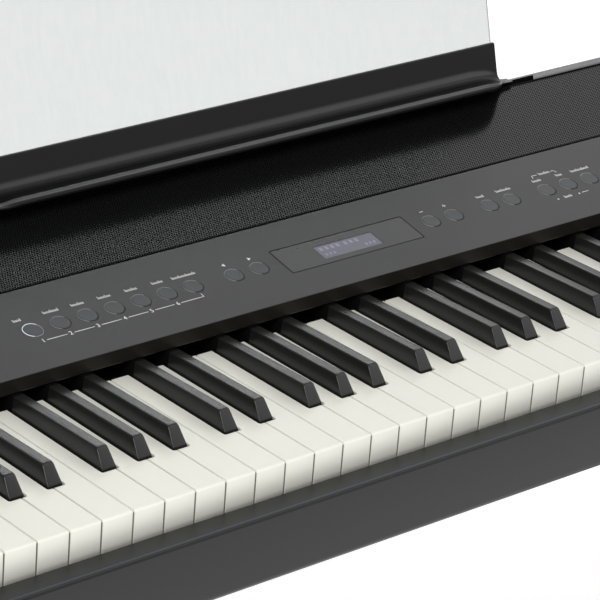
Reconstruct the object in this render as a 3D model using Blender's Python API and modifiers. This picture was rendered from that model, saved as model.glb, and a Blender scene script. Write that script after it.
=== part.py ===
"""Digital piano with 88 keys on a furniture stand, as separate parts.

X runs along the keyboard, Y from the player to the back, Z up. The origin is on the floor,
in the middle of the stand's footprint. Lengths are in metres.
"""
import math

import bmesh
import bpy
from mathutils import Matrix, Vector

MM = 0.001
GAP = 0.3 * MM                     # air between two solids that touch on the real object

# Keyboard
KEY_TOP_Z = 0.730                  # top of the white keys above the floor
KEY_FRONT_Y = -0.150               # front face of the white keys
WHITE_PITCH = 23.5 * MM
WHITE_KEYS = 52
MIDDLE_GAP = WHITE_KEYS // 2       # the gap between two white keys that lies on X = 0
WHITE_LENGTH = 149.5 * MM          # the part of a white key that shows
WHITE_HEIGHT = 24 * MM
WHITE_CAP = 6 * MM                 # moulded top, a little wider than the body under it
CAP_LAP = 0.7 * MM                 # how far cap and body run into each other
KEY_GAP = 1 * MM                   # air between two white keys
BAR_MARGIN = 4 * MM
CAP_OVERHANG = 0.25 * MM
SLOT_FRONT = 50 * MM               # where the notch for a black key starts
SLOT_WIDTH = 13.4 * MM
BLACK_OFFSETS = {"C": -2.4 * MM, "D": 2.4 * MM, "F": -3.9 * MM, "G": 0.0, "A": 3.9 * MM}
BLACK_BASE = 10.6 * MM
BLACK_TOP = 8.0 * MM
BLACK_RISE = 12 * MM
BLACK_REAR_RISE = 9.9 * MM
BLACK_FRONT = 51.2 * MM
BLACK_TOP_FRONT = 60 * MM
BLACK_REAR = 146.5 * MM
BLACK_DEPTH = 14 * MM
WHITE_PIVOT = (215 * MM, -WHITE_HEIGHT)
BLACK_PIVOT = (226 * MM, 1 * MM)
WHITE_BAR_FRONT = 152 * MM
WHITE_BAR_REAR = 220 * MM
BLACK_BAR_REAR = 230 * MM
BLACK_LEVER_TOP = 8.5 * MM
LEVER_MARGIN = 0.6 * MM
LEVER_LAP = 8 * MM                 # how far a lever runs into its black key
NOTE_LETTERS = "ABCDEFG"

# Key groups: body name part, first and last white key. The middle octave has single keys.
KEY_GROUPS = (("a0_b1", 0, 8), ("c2_b3", 9, 22), ("c5_b6", 30, 43), ("c7_c8", 44, 51))
SINGLE_FIRST = 23
SINGLE_LAST = 29

# Case, measured back from the key fronts and up from the key tops
CASE_HALF = 611 * MM               # half the width between the end blocks
END_BLOCK = 34.5 * MM
CASE_FRONT = -20 * MM
CASE_REAR = 322 * MM
CASE_BOTTOM = -70 * MM
CASE_FRONT_TOP = -21 * MM
WALL = 3 * MM
PANEL_SLOPE = math.radians(11.5)
PANEL_FRONT = (148 * MM, 21.5 * MM)
PANEL_DEPTH = 82.3 * MM            # along the slope
GRILLE_DEPTH = 83 * MM
GRILLE_THICK = 2.5 * MM
FALLBOARD_FOOT = 11 * MM
RAIL_FRONT = 311.3 * MM
RAIL_RISE = 1.1 * MM               # step from the grille's rear edge up to the rail
RAIL_FOOT = 38 * MM
RAIL_CROWN = 3 * MM
REAR_SEAM = -30 * MM               # where the rear cover meets the bottom case
CASE_CORNER = 6 * MM
SLIP_TOP = -19 * MM
SLIP_REAR = -4.6 * MM
SLIP_NOSE = 2.2 * MM
SLIP_THICK = 2.5 * MM
SLIP_TONGUE = (2 * MM, -32 * MM)   # thickness and foot of the tongue behind the bottom case
HOLE_CUT = (-8 * MM, 4 * MM)       # reach of the panel's cutters below and above its surface
BUTTON_SIDES = 20

# End blocks: arcs of the profile in front of the panel, as centre, radius, start and end angle
BLOCK_NOSE = ((-12 * MM, -19 * MM), 8 * MM, 180, 120)
BLOCK_SHOULDER = ((9 * MM, 3 * MM), 12 * MM, 150, 95)
BLOCK_BROW = (-6 * MM, -2 * MM)    # a point before the panel's front edge
BLOCK_CROWN = 4 * MM

# Key chassis: plate, stop rail under the white keys and the ribs that the levers turn on
CHASSIS_FLOOR = -58 * MM
CHASSIS_ENDS = (5 * MM, 240 * MM)
CHASSIS_MARGIN = 3 * MM
STOP_RAIL = (18 * MM, 26 * MM, -36 * MM)
RIB_HALF = 2 * MM
RIB_AIR = 0.5 * MM

# Speaker driver: radius and height in millimetres, turned about its axis
SPEAKER_PROFILE = ((0.0, -13.0), (9.0, -13.0), (30.0, -2.0), (34.0, 0.0), (38.0, 0.0), (38.0, -3.0),
                   (34.0, -4.0), (20.0, -22.0), (20.0, -36.0), (0.0, -36.0))
SPEAKER_X = 470 * MM
SPEAKER_STEPS = 28
SPEAKER_AIR = 0.6 * MM

# Controls, by their distance along X and up the panel's slope
BUTTON_RADIUS = 7 * MM
BUTTON_HEIGHT = 7 * MM
BUTTON_RISE = 1.2 * MM
BUTTON_ROW = 39.8 * MM
BUTTON_CLEARANCE = 0.5 * MM
BUTTON_PITCH = 21.8 * MM
TONE_BUTTONS_X = -270.8 * MM
BUTTON_GROUPS = (("tone_button", TONE_BUTTONS_X, 7), ("page_button", -104.9 * MM, 2),
                 ("value_button", 73.8 * MM, 2), ("menu_button", 129.9 * MM, 2),
                 ("song_button", 186.8 * MM, 3))
POWER_BUTTON_X = -590 * MM
SLIDER_X = -535 * MM
SLIDER_SLOT = (50 * MM, 3 * MM)
SLIDER_CAP = (11 * MM, 15 * MM, 6 * MM)
WINDOW_SIZE = (119 * MM, 27 * MM, 1.6 * MM)
WINDOW_X = -4.5 * MM
WINDOW_ROW = 39.6 * MM
MODULE_SIZE = (84 * MM, 25 * MM)
MODULE_FLOOR = -7.4 * MM
BOARD_SIZE = (560 * MM, 56 * MM)
BOARD_PLACE = (-18 * MM, 44 * MM)
BOARD_LEVELS = (-10 * MM, -8.4 * MM)
SLIDER_RISE = 0.4 * MM
SLIDER_STEM = (5 * MM, 2 * MM)

# Music rest
REST_HALF = 244 * MM
SLOT_HALF = 288 * MM
SLOT_NEAR = 312.6 * MM
SLOT_FAR = 317.4 * MM
SLOT_FLOOR = 41.2 * MM
SLOT_SKY = 70 * MM                 # top of the slot's cutter, in the air
SLOT_STEP = 0.4 * MM               # how far the slot's front lies under the grille
REST_LEAN = math.radians(15)
REST_PANEL_LENGTH = 166 * MM
REST_PANEL_THICK = 3 * MM
REST_PANEL_CORNER = 12 * MM
REST_PANEL_FOOT = (310.8 * MM, 62.1 * MM)
# The rest's side profile in millimetres, back from the key fronts and up from the key tops
REST_TROUGH = ((303.0, 69.6), (306.6, 70.6))
REST_UPRIGHT = (308.6, 73.6)
REST_UNDER = ((311.0, 71.4), (309.0, 64.0), (309.2, 61.4), (318.4, 61.4), (318.4, 56.7), (317.0, 56.7),
              (317.0, 41.6), (313.0, 41.6), (313.0, 56.7), (306.0, 58.0), (301.4, 65.4))
# Distance along X, then the lip (back and up) and the height of the upright, in millimetres
REST_STATIONS = ((222 * MM, 284.0, 73.0, 19.4), (REST_HALF, 294.0, 70.5, 19.4),
                 (REST_HALF + 2 * MM, 296.0, 70.2, 1.0), (258 * MM, 300.5, 69.3, 0.4))

# Stand
FOOT_SIZE = (60 * MM, 414 * MM, 45 * MM)
SIDE_THICK = 22 * MM
SIDE_DEPTH = 300 * MM
SIDE_X = 612 * MM
BACK_BOARD = (150 * MM, 16 * MM)
BACK_BOARD_Y = 132 * MM
RAIL_TUBE = (40 * MM, 25 * MM)
RAIL_TUBE_Y = -90 * MM

# Sockets in the plate at the back: name, distance from the plate's middle, width, height, round
SOCKETS = (("power", -62 * MM, 9 * MM, 9 * MM, True), ("usb", -32 * MM, 12 * MM, 11 * MM, False),
           ("pedal", 0.0, 9 * MM, 9 * MM, True), ("phones_1", 32 * MM, 9 * MM, 9 * MM, True),
           ("phones_2", 60 * MM, 9 * MM, 9 * MM, True))
JACK_PLATE = (160 * MM, 30 * MM)
JACK_PLATE_X = 430 * MM
JACK_PLATE_RISE = 2 * MM

PARTS = "digital_piano_on_stand"
CUTTERS = "cutters"
ALONG_X = Matrix(((0, 0, 1, 0), (1, 0, 0, 0), (0, 1, 0, 0), (0, 0, 0, 1)))


def clear_scene():
    for obj in list(bpy.data.objects):
        bpy.data.objects.remove(obj, do_unlink=True)
    for name in (PARTS, CUTTERS):
        collection = bpy.data.collections.new(name)
        bpy.context.scene.collection.children.link(collection)


def make_material(name, color, roughness, metallic=0.0, alpha=1.0):
    material = bpy.data.materials.new(name)
    material.use_nodes = True
    shader = material.node_tree.nodes["Principled BSDF"]
    shader.inputs["Base Color"].default_value = (*color, 1.0)
    shader.inputs["Roughness"].default_value = roughness
    shader.inputs["Metallic"].default_value = metallic
    shader.inputs["Alpha"].default_value = alpha
    return material


def new_object(name, mesh, material=None):
    obj = bpy.data.objects.new(name, mesh)
    bpy.data.collections[PARTS].objects.link(obj)
    if material:
        obj.data.materials.append(material)
    return obj


def from_bmesh(name, bm, material=None):
    bmesh.ops.recalc_face_normals(bm, faces=bm.faces)
    mesh = bpy.data.meshes.new(name)
    bm.to_mesh(mesh)
    bm.free()
    return new_object(name, mesh, material)


def set_origin(obj, point):
    """Put the object's origin at a point, with its mesh left where it is."""
    obj.data.transform(Matrix.Translation(-Vector(point)))
    obj.location = point


def make_cutter(obj):
    bpy.data.collections[PARTS].objects.unlink(obj)
    bpy.data.collections[CUTTERS].objects.link(obj)
    obj.hide_render = True
    obj.display_type = "WIRE"


def boolean(obj, other, operation):
    make_cutter(other)
    modifier = obj.modifiers.new(operation.title(), "BOOLEAN")
    modifier.operation = operation
    modifier.object = other
    modifier.solver = "EXACT"


def bake(obj):
    """Replace an object's mesh by its evaluated one, without modifiers."""
    bpy.context.view_layer.update()
    evaluated = obj.evaluated_get(bpy.context.evaluated_depsgraph_get())
    mesh = bpy.data.meshes.new_from_object(evaluated)
    obj.modifiers.clear()
    obj.data = mesh


def bevel(obj, width, segments=2):
    modifier = obj.modifiers.new("Bevel", "BEVEL")
    modifier.width = width
    modifier.segments = segments
    modifier.limit_method = "ANGLE"
    modifier.angle_limit = math.radians(40)


def arc(centre, radius, start, end, steps):
    """Points of an arc between two angles in degrees, both ends included."""
    points = []
    for step in range(steps + 1):
        angle = math.radians(start + (end - start) * step / steps)
        points.append((centre[0] + radius * math.cos(angle), centre[1] + radius * math.sin(angle)))
    return points


def outline_mesh(outlines, thickness):
    """Flat outlines in the XY plane, filled and extruded about Z = 0, as one welded mesh."""
    curve = bpy.data.curves.new("outline", "CURVE")
    curve.dimensions = "2D"
    curve.fill_mode = "BOTH"
    curve.extrude = thickness / 2
    for points in outlines:
        spline = curve.splines.new("POLY")
        spline.points.add(len(points) - 1)
        for point, (x, y) in zip(spline.points, points):
            point.co = (x, y, 0, 1)
        spline.use_cyclic_u = True
    obj = bpy.data.objects.new("outline", curve)
    bpy.context.scene.collection.objects.link(obj)
    bpy.context.view_layer.update()
    mesh = bpy.data.meshes.new_from_object(obj.evaluated_get(bpy.context.evaluated_depsgraph_get()))
    bpy.data.objects.remove(obj, do_unlink=True)
    bm = bmesh.new()
    bm.from_mesh(mesh)
    bmesh.ops.remove_doubles(bm, verts=bm.verts, dist=1e-6)
    bmesh.ops.recalc_face_normals(bm, faces=bm.faces)
    bm.to_mesh(mesh)
    bm.free()
    return mesh


def profile_bar(name, profile, half_length, material=None, x=0.0):
    """A side profile, given back from the key fronts and up from the key tops, run along X."""
    mesh = outline_mesh([profile], 2 * half_length)
    mesh.transform(Matrix.Translation((x, KEY_FRONT_Y, KEY_TOP_Z)) @ ALONG_X)
    return new_object(name, mesh, material)


def plan_plate(name, outlines, bottom, top, material=None):
    """Plan outlines, given in X and back from the key fronts, between two heights."""
    mesh = outline_mesh(outlines, top - bottom)
    mesh.transform(Matrix.Translation((0, KEY_FRONT_Y, KEY_TOP_Z + (bottom + top) / 2)))
    return new_object(name, mesh, material)


def box(name, low, high, material=None):
    bm = bmesh.new()
    bmesh.ops.create_cube(bm, size=1.0)
    centre = [(a + b) / 2 for a, b in zip(low, high)]
    size = [b - a for a, b in zip(low, high)]
    bmesh.ops.scale(bm, vec=size, verts=bm.verts)
    bmesh.ops.translate(bm, vec=centre, verts=bm.verts)
    obj = from_bmesh(name, bm, material)
    set_origin(obj, centre)
    return obj


def key_box(name, low, high, material=None):
    """A box given back from the key fronts and up from the key tops."""
    offset = (0, KEY_FRONT_Y, KEY_TOP_Z)
    return box(name, [a + b for a, b in zip(low, offset)], [a + b for a, b in zip(high, offset)], material)


def loft(name, rings, material=None):
    """A closed solid through rings that all have the same number of points."""
    bm = bmesh.new()
    loops = [[bm.verts.new(point) for point in ring] for ring in rings]
    count = len(loops[0])
    for ring_a, ring_b in zip(loops, loops[1:]):
        for i in range(count):
            j = (i + 1) % count
            bm.faces.new((ring_a[i], ring_a[j], ring_b[j], ring_b[i]))
    bm.faces.new(loops[0])
    bm.faces.new(loops[-1])
    return from_bmesh(name, bm, material)


def panel_frame(x, row, rise=0.0):
    """The place on the sloped panel at x and a distance up its slope, with Z along its normal."""
    turn = Matrix.Rotation(PANEL_SLOPE, 4, "X")
    start = Vector((x, KEY_FRONT_Y + PANEL_FRONT[0], KEY_TOP_Z + PANEL_FRONT[1]))
    return Matrix.Translation(start) @ turn @ Matrix.Translation((0, row, rise))


def panel_cylinder(name, frame, radius, low, high, material=None, sides=BUTTON_SIDES):
    bm = bmesh.new()
    bmesh.ops.create_cone(bm, cap_ends=True, segments=sides, radius1=radius, radius2=radius,
                          depth=high - low)
    bmesh.ops.translate(bm, vec=(0, 0, (low + high) / 2), verts=bm.verts)
    obj = from_bmesh(name, bm, material)
    obj.matrix_world = frame
    obj.data.shade_smooth()
    obj.data.set_sharp_from_angle(angle=math.radians(40))
    return obj


def panel_box(name, frame, size, low, high, material=None):
    bm = bmesh.new()
    bmesh.ops.create_cube(bm, size=1.0)
    bmesh.ops.scale(bm, vec=(size[0], size[1], high - low), verts=bm.verts)
    bmesh.ops.translate(bm, vec=(0, 0, (low + high) / 2), verts=bm.verts)
    obj = from_bmesh(name, bm, material)
    obj.matrix_world = frame
    return obj


def joined_cutter(name, pieces):
    """Several separate pieces as one object in world space."""
    bm = bmesh.new()
    for piece in pieces:
        bpy.context.view_layer.update()
        mesh = piece.data.copy()
        mesh.transform(piece.matrix_world)
        bm.from_mesh(mesh)
        bpy.data.objects.remove(piece, do_unlink=True)
    return from_bmesh(name, bm)


# ---- Keys ----

def letter(white):
    return NOTE_LETTERS[white % 7]


def gap_x(gap):
    """X of the line between white key gap - 1 and white key gap."""
    return (gap - MIDDLE_GAP) * WHITE_PITCH


def has_black(gap):
    return 0 < gap < WHITE_KEYS and letter(gap - 1) in BLACK_OFFSETS


def black_x(gap):
    return gap_x(gap) + BLACK_OFFSETS[letter(gap - 1)]


def white_sides(white, inset):
    """The left and right edges of a white key's head and of its tail."""
    left = gap_x(white) + KEY_GAP / 2 + inset
    right = gap_x(white + 1) - KEY_GAP / 2 - inset
    tail_left = black_x(white) + SLOT_WIDTH / 2 + inset if has_black(white) else left
    tail_right = black_x(white + 1) - SLOT_WIDTH / 2 - inset if has_black(white + 1) else right
    return left, right, tail_left, tail_right


def white_front(white, inset):
    """The front half of a white key's outline, from its left tail edge round to the right one."""
    left, right, tail_left, tail_right = white_sides(white, inset)
    notch = SLOT_FRONT - inset
    points = [(left, inset), (right, inset)]
    if tail_left > left:
        points = [(tail_left, notch), (left, notch)] + points
    if tail_right < right:
        points = points + [(right, notch), (tail_right, notch)]
    return points


def white_outline(white, inset, rear):
    """A whole key's outline in plan: head, notches for the black keys and tail."""
    _, _, tail_left, tail_right = white_sides(white, inset)
    return white_front(white, inset) + [(tail_right, rear), (tail_left, rear)]


def white_keys(name, first, last, material):
    """White keys first to last as one solid, joined by a bar where the panel hides them."""
    whites = range(first, last + 1)
    body_top = CAP_LAP - WHITE_CAP
    bodies = [white_outline(white, CAP_OVERHANG, WHITE_BAR_REAR) for white in whites]
    caps = [white_outline(white, 0.0, WHITE_LENGTH) for white in whites]
    keys = plan_plate(name, bodies, -WHITE_HEIGHT, body_top, material)
    if last > first:
        left = gap_x(first) + BAR_MARGIN
        right = gap_x(last + 1) - BAR_MARGIN
        bar = key_box(name + "_bar", (left, WHITE_BAR_FRONT, GAP - WHITE_HEIGHT),
                      (right, WHITE_BAR_REAR - 1 * MM, body_top - GAP))
        boolean(keys, bar, "UNION")
    boolean(keys, plan_plate(name + "_caps", caps, -WHITE_CAP, 0.0), "UNION")
    bake(keys)
    middle = (gap_x(first) + gap_x(last + 1)) / 2
    set_origin(keys, (middle, KEY_FRONT_Y + WHITE_PIVOT[0], KEY_TOP_Z + WHITE_PIVOT[1]))
    return keys


def black_key(name, gap, material):
    """One black key: straight below the white tops, tapered above, with a sloped front."""
    x = black_x(gap)
    half = BLACK_BASE / 2
    top = BLACK_TOP / 2
    levels = ((-BLACK_DEPTH, half, BLACK_FRONT, 0.0), (0.0, half, BLACK_FRONT, 0.0),
              (BLACK_RISE, top, BLACK_TOP_FRONT, BLACK_REAR_RISE - BLACK_RISE))
    rings = []
    for height, wide, front, rear_drop in levels:
        z = KEY_TOP_Z + height
        y = KEY_FRONT_Y + front
        rear = KEY_FRONT_Y + BLACK_REAR
        rings.append([(x - wide, y, z), (x + wide, y, z),
                      (x + wide, rear, z + rear_drop), (x - wide, rear, z + rear_drop)])
    return loft(name, rings, material)


def black_keys(name, gaps, material):
    """Black keys as one solid, joined by a bar where the panel hides it."""
    keys = black_key(name, gaps[0], material)
    for gap in gaps[1:]:
        boolean(keys, black_key(name + "_more", gap, None), "UNION")
    reach = BLACK_BASE / 2 - LEVER_MARGIN
    bar = key_box(name + "_bar", (black_x(gaps[0]) - reach, BLACK_REAR - LEVER_LAP, BLACK_PIVOT[1]),
                  (black_x(gaps[0]) + reach, BLACK_BAR_REAR, BLACK_LEVER_TOP))
    boolean(keys, bar, "UNION")
    if len(gaps) > 1:
        for gap in gaps[1:]:
            x = black_x(gap)
            lever = key_box(name + "_lever", (x - reach, BLACK_REAR - LEVER_LAP, BLACK_PIVOT[1]),
                            (x + reach, BLACK_BAR_REAR - 1 * MM, BLACK_LEVER_TOP))
            boolean(keys, lever, "UNION")
        link = key_box(name + "_link",
                       (black_x(gaps[0]), WHITE_BAR_FRONT, BLACK_PIVOT[1] + 0.5 * MM),
                       (black_x(gaps[-1]), BLACK_BAR_REAR - 2 * MM, BLACK_LEVER_TOP - 0.5 * MM))
        boolean(keys, link, "UNION")
    bake(keys)
    middle = (black_x(gaps[0]) + black_x(gaps[-1])) / 2
    set_origin(keys, (middle, KEY_FRONT_Y + BLACK_PIVOT[0], KEY_TOP_Z + BLACK_PIVOT[1]))
    return keys


def single_name(white, black):
    name = letter(white).lower()
    return "black_key_" + name + "_sharp_4" if black else "white_key_" + name + "_4"


def build_keys(ivory, ebony):
    for group, first, last in KEY_GROUPS:
        white_keys("white_keys_" + group, first, last, ivory)
        gaps = [gap for gap in range(first + 1, last + 2) if has_black(gap)]
        black_keys("black_keys_" + group, gaps, ebony)
    for white in range(SINGLE_FIRST, SINGLE_LAST + 1):
        white_keys(single_name(white, False), white, white, ivory)
        if has_black(white + 1):
            black_keys(single_name(white, True), [white + 1], ebony)


# ---- Case ----

def panel_point(along, depth=0.0):
    """A point of the side profile, at a distance up the deck's slope and below its surface."""
    y = PANEL_FRONT[0] + along * math.cos(PANEL_SLOPE) + depth * math.sin(PANEL_SLOPE)
    z = PANEL_FRONT[1] + along * math.sin(PANEL_SLOPE) - depth * math.cos(PANEL_SLOPE)
    return y, z


def build_bottom_case(material):
    radius = CASE_CORNER
    low_front = arc((CASE_FRONT + radius, CASE_BOTTOM + radius), radius, 180, 270, 4)
    low_rear = arc((CASE_REAR - radius, CASE_BOTTOM + radius), radius, 270, 360, 3)
    inside = [(CASE_REAR - WALL, REAR_SEAM), (CASE_REAR - WALL, CASE_BOTTOM + WALL),
              (CASE_FRONT + WALL, CASE_BOTTOM + WALL), (CASE_FRONT + WALL, CASE_FRONT_TOP)]
    profile = [(CASE_FRONT, CASE_FRONT_TOP)] + low_front + low_rear + [(CASE_REAR, REAR_SEAM)] + inside
    return profile_bar("bottom_case", profile, CASE_HALF, material)


def build_key_slip(material):
    foot = CASE_FRONT_TOP + GAP
    nose = arc((CASE_FRONT + SLIP_NOSE, SLIP_TOP - SLIP_NOSE), SLIP_NOSE, 90, 165, 3)
    lip = CASE_FRONT + WALL + GAP
    tongue = lip + SLIP_TONGUE[0]
    profile = [(SLIP_REAR, SLIP_TOP)] + nose
    profile += [(CASE_FRONT, foot), (lip, foot), (lip, SLIP_TONGUE[1]), (tongue, SLIP_TONGUE[1]),
                (tongue, SLIP_TOP - SLIP_THICK), (SLIP_REAR, SLIP_TOP - SLIP_THICK)]
    return profile_bar("key_slip", profile, CASE_HALF, material)


def build_end_block(name, side, material):
    """A hollow cheek, open towards the keys, with the case's outline."""
    low = CASE_BOTTOM + CASE_CORNER
    top_rear = panel_point(PANEL_DEPTH + GRILLE_DEPTH)
    crown_z = top_rear[1] + RAIL_RISE - BLOCK_CROWN
    profile = arc((CASE_FRONT + CASE_CORNER, low), CASE_CORNER, 270, 180, 4)
    profile += arc(*BLOCK_NOSE, 3)
    profile += arc(*BLOCK_SHOULDER, 4)
    profile += [(PANEL_FRONT[0] + BLOCK_BROW[0], PANEL_FRONT[1] + BLOCK_BROW[1]), PANEL_FRONT, top_rear]
    profile += arc((CASE_REAR - BLOCK_CROWN, crown_z), BLOCK_CROWN, 80, 0, 3)
    profile += arc((CASE_REAR - CASE_CORNER, low), CASE_CORNER, 0, -90, 3)
    inner = side * (CASE_HALF + GAP)
    outer = side * (CASE_HALF + END_BLOCK)
    bm = bmesh.new()
    ring = [bm.verts.new((outer, KEY_FRONT_Y + y, KEY_TOP_Z + z)) for y, z in profile]
    cap = bm.faces.new(ring)
    walls = bmesh.ops.extrude_edge_only(bm, edges=list(cap.edges))
    moved = [item for item in walls["geom"] if isinstance(item, bmesh.types.BMVert)]
    bmesh.ops.translate(bm, vec=(inner - outer, 0, 0), verts=moved)
    bmesh.ops.recalc_face_normals(bm, faces=bm.faces)
    mesh = bpy.data.meshes.new(name)
    if (cap.normal.x > 0) != (side > 0):
        bmesh.ops.reverse_faces(bm, faces=bm.faces)
    bm.to_mesh(mesh)
    bm.free()
    block = new_object(name, mesh, material)
    shell = block.modifiers.new("Solidify", "SOLIDIFY")
    shell.thickness = WALL
    shell.offset = -1
    shell.use_even_offset = True
    return block


def build_control_panel(material):
    inner_corner = (PANEL_FRONT[0] + WALL, FALLBOARD_FOOT)
    under_front = panel_point(3.4 * MM, WALL)
    profile = [PANEL_FRONT, panel_point(PANEL_DEPTH), panel_point(PANEL_DEPTH, WALL), under_front,
               inner_corner, (PANEL_FRONT[0], FALLBOARD_FOOT)]
    panel = profile_bar("control_panel", profile, CASE_HALF, material)
    hole = BUTTON_RADIUS + BUTTON_CLEARANCE
    cutters = []
    for x in [x for _, x in button_places()] + [POWER_BUTTON_X]:
        cutters.append(panel_cylinder("hole", panel_frame(x, BUTTON_ROW), hole, *HOLE_CUT))
    window = (WINDOW_SIZE[0] + 2 * GAP, WINDOW_SIZE[1] + 2 * GAP)
    cutters.append(panel_box("hole", panel_frame(WINDOW_X, WINDOW_ROW), window, *HOLE_CUT))
    cutters.append(panel_box("hole", panel_frame(SLIDER_X, BUTTON_ROW), SLIDER_SLOT, *HOLE_CUT))
    boolean(panel, joined_cutter("panel_holes", cutters), "DIFFERENCE")
    bake(panel)
    return panel


def build_grille(material):
    start = PANEL_DEPTH + GAP
    end = PANEL_DEPTH + GRILLE_DEPTH - GAP
    profile = [panel_point(start), panel_point(end), panel_point(end, GRILLE_THICK),
               panel_point(start, GRILLE_THICK)]
    return profile_bar("speaker_grille", profile, CASE_HALF, material)


def build_rear_cover(material):
    """The back wall and the rail on it, with the music rest's slot, open towards the grille."""
    grille_z = panel_point(PANEL_DEPTH + GRILLE_DEPTH)[1]
    top_z = grille_z + RAIL_RISE
    foot = REAR_SEAM + GAP
    crown = arc((CASE_REAR - RAIL_CROWN, top_z - RAIL_CROWN), RAIL_CROWN, 90, 0, 3)
    profile = [(RAIL_FRONT, top_z)] + crown
    profile += [(CASE_REAR, foot), (CASE_REAR - WALL, foot), (CASE_REAR - WALL, RAIL_FOOT),
                (RAIL_FRONT, RAIL_FOOT)]
    cover = profile_bar("rear_cover", profile, CASE_HALF, material)
    slot = key_box("rest_slot", (-SLOT_HALF, SLOT_NEAR, SLOT_FLOOR), (SLOT_HALF, SLOT_FAR, SLOT_SKY))
    boolean(cover, slot, "DIFFERENCE")
    step = key_box("slot_step", (-SLOT_HALF, RAIL_FRONT - 4 * MM, grille_z - SLOT_STEP),
                   (SLOT_HALF, SLOT_NEAR + 1 * MM, SLOT_SKY + 1 * MM))
    boolean(cover, step, "DIFFERENCE")
    half_x = JACK_PLATE[0] / 2 + GAP
    half_z = JACK_PLATE[1] / 2 + GAP
    window = key_box("jack_window",
                     (JACK_PLATE_X - half_x, CASE_REAR - 8 * MM, JACK_PLATE_RISE - half_z),
                     (JACK_PLATE_X + half_x, CASE_REAR + 5 * MM, JACK_PLATE_RISE + half_z))
    boolean(cover, window, "DIFFERENCE")
    bake(cover)
    return cover


def build_jack_plate(material):
    half_x = JACK_PLATE[0] / 2
    half_z = JACK_PLATE[1] / 2
    plate = key_box("jack_plate",
                    (JACK_PLATE_X - half_x, CASE_REAR - WALL, JACK_PLATE_RISE - half_z),
                    (JACK_PLATE_X + half_x, CASE_REAR - 0.5 * MM, JACK_PLATE_RISE + half_z), material)
    cutters = []
    centre_y = KEY_FRONT_Y + CASE_REAR
    for _, offset, width, height, is_round in SOCKETS:
        bm = bmesh.new()
        if is_round:
            bmesh.ops.create_cone(bm, cap_ends=True, segments=20, radius1=width / 2, radius2=width / 2,
                                  depth=20 * MM)
            bmesh.ops.rotate(bm, matrix=Matrix.Rotation(math.pi / 2, 3, "X"), verts=bm.verts)
        else:
            bmesh.ops.create_cube(bm, size=1.0)
            bmesh.ops.scale(bm, vec=(width, 20 * MM, height), verts=bm.verts)
        place = (JACK_PLATE_X + offset, centre_y, KEY_TOP_Z + JACK_PLATE_RISE)
        bmesh.ops.translate(bm, vec=place, verts=bm.verts)
        cutters.append(from_bmesh("socket", bm))
    boolean(plate, joined_cutter("sockets", cutters), "DIFFERENCE")
    bake(plate)
    return plate


def build_chassis(material):
    """The plate that carries the keys, with a stop rail and two pivot ribs."""
    front, rear = CHASSIS_ENDS
    floor = CHASSIS_FLOOR
    top = floor + WALL
    white_y, white_z = WHITE_PIVOT
    black_y, black_z = BLACK_PIVOT
    stop_front, stop_rear, stop_z = STOP_RAIL
    profile = [(front, floor), (rear, floor), (rear, top),
               (black_y + RIB_HALF, top), (black_y + RIB_HALF, black_z - GAP),
               (black_y - RIB_HALF, black_z - GAP), (black_y - RIB_HALF, top),
               (white_y + RIB_HALF, top), (white_y + RIB_HALF, white_z - RIB_AIR),
               (white_y - RIB_HALF, white_z - RIB_AIR), (white_y - RIB_HALF, top),
               (stop_rear, top), (stop_rear, stop_z), (stop_front, stop_z), (stop_front, top),
               (front, top)]
    return profile_bar("key_chassis", profile, CASE_HALF - CHASSIS_MARGIN, material)


def build_speaker(name, x, material):
    """A round driver: rim, dished cone, basket and magnet, turned about its axis."""
    bm = bmesh.new()
    verts = [bm.verts.new((r * MM, 0, z * MM)) for r, z in SPEAKER_PROFILE]
    for a, b in zip(verts, verts[1:]):
        bm.edges.new((a, b))
    mesh = bpy.data.meshes.new(name)
    bm.to_mesh(mesh)
    bm.free()
    speaker = new_object(name, mesh, material)
    turn = speaker.modifiers.new("Screw", "SCREW")
    turn.steps = SPEAKER_STEPS
    turn.render_steps = SPEAKER_STEPS
    turn.use_merge_vertices = True
    turn.merge_threshold = 0.00005
    speaker.matrix_world = panel_frame(x, PANEL_DEPTH + GRILLE_DEPTH / 2, -GRILLE_THICK - SPEAKER_AIR)
    return speaker


# ---- Controls and display ----

def button_places():
    places = []
    for group, start, count in BUTTON_GROUPS:
        for index in range(count):
            places.append((group + "_" + str(index + 1), start + index * BUTTON_PITCH))
    return places


def build_controls(material):
    low = BUTTON_RISE - BUTTON_HEIGHT
    for name, x in button_places() + [("power_button", POWER_BUTTON_X)]:
        panel_cylinder(name, panel_frame(x, BUTTON_ROW), BUTTON_RADIUS, low, BUTTON_RISE, material)
    frame = panel_frame(SLIDER_X, BUTTON_ROW)
    cap = panel_box("volume_slider", frame, SLIDER_CAP[:2], SLIDER_RISE, SLIDER_CAP[2], material)
    boolean(cap, panel_box("slider_stem", frame, SLIDER_STEM, -6 * MM, 2 * MM), "UNION")


def build_display(window_material, module_material, board_material):
    frame = panel_frame(WINDOW_X, WINDOW_ROW)
    panel_box("display_window", frame, WINDOW_SIZE[:2], -WINDOW_SIZE[2], 0.0, window_material)
    panel_box("display_module", frame, MODULE_SIZE, MODULE_FLOOR, -WINDOW_SIZE[2] - GAP,
              module_material)
    panel_box("circuit_board", panel_frame(*BOARD_PLACE), BOARD_SIZE, *BOARD_LEVELS, board_material)


# ---- Music rest ----

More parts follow.
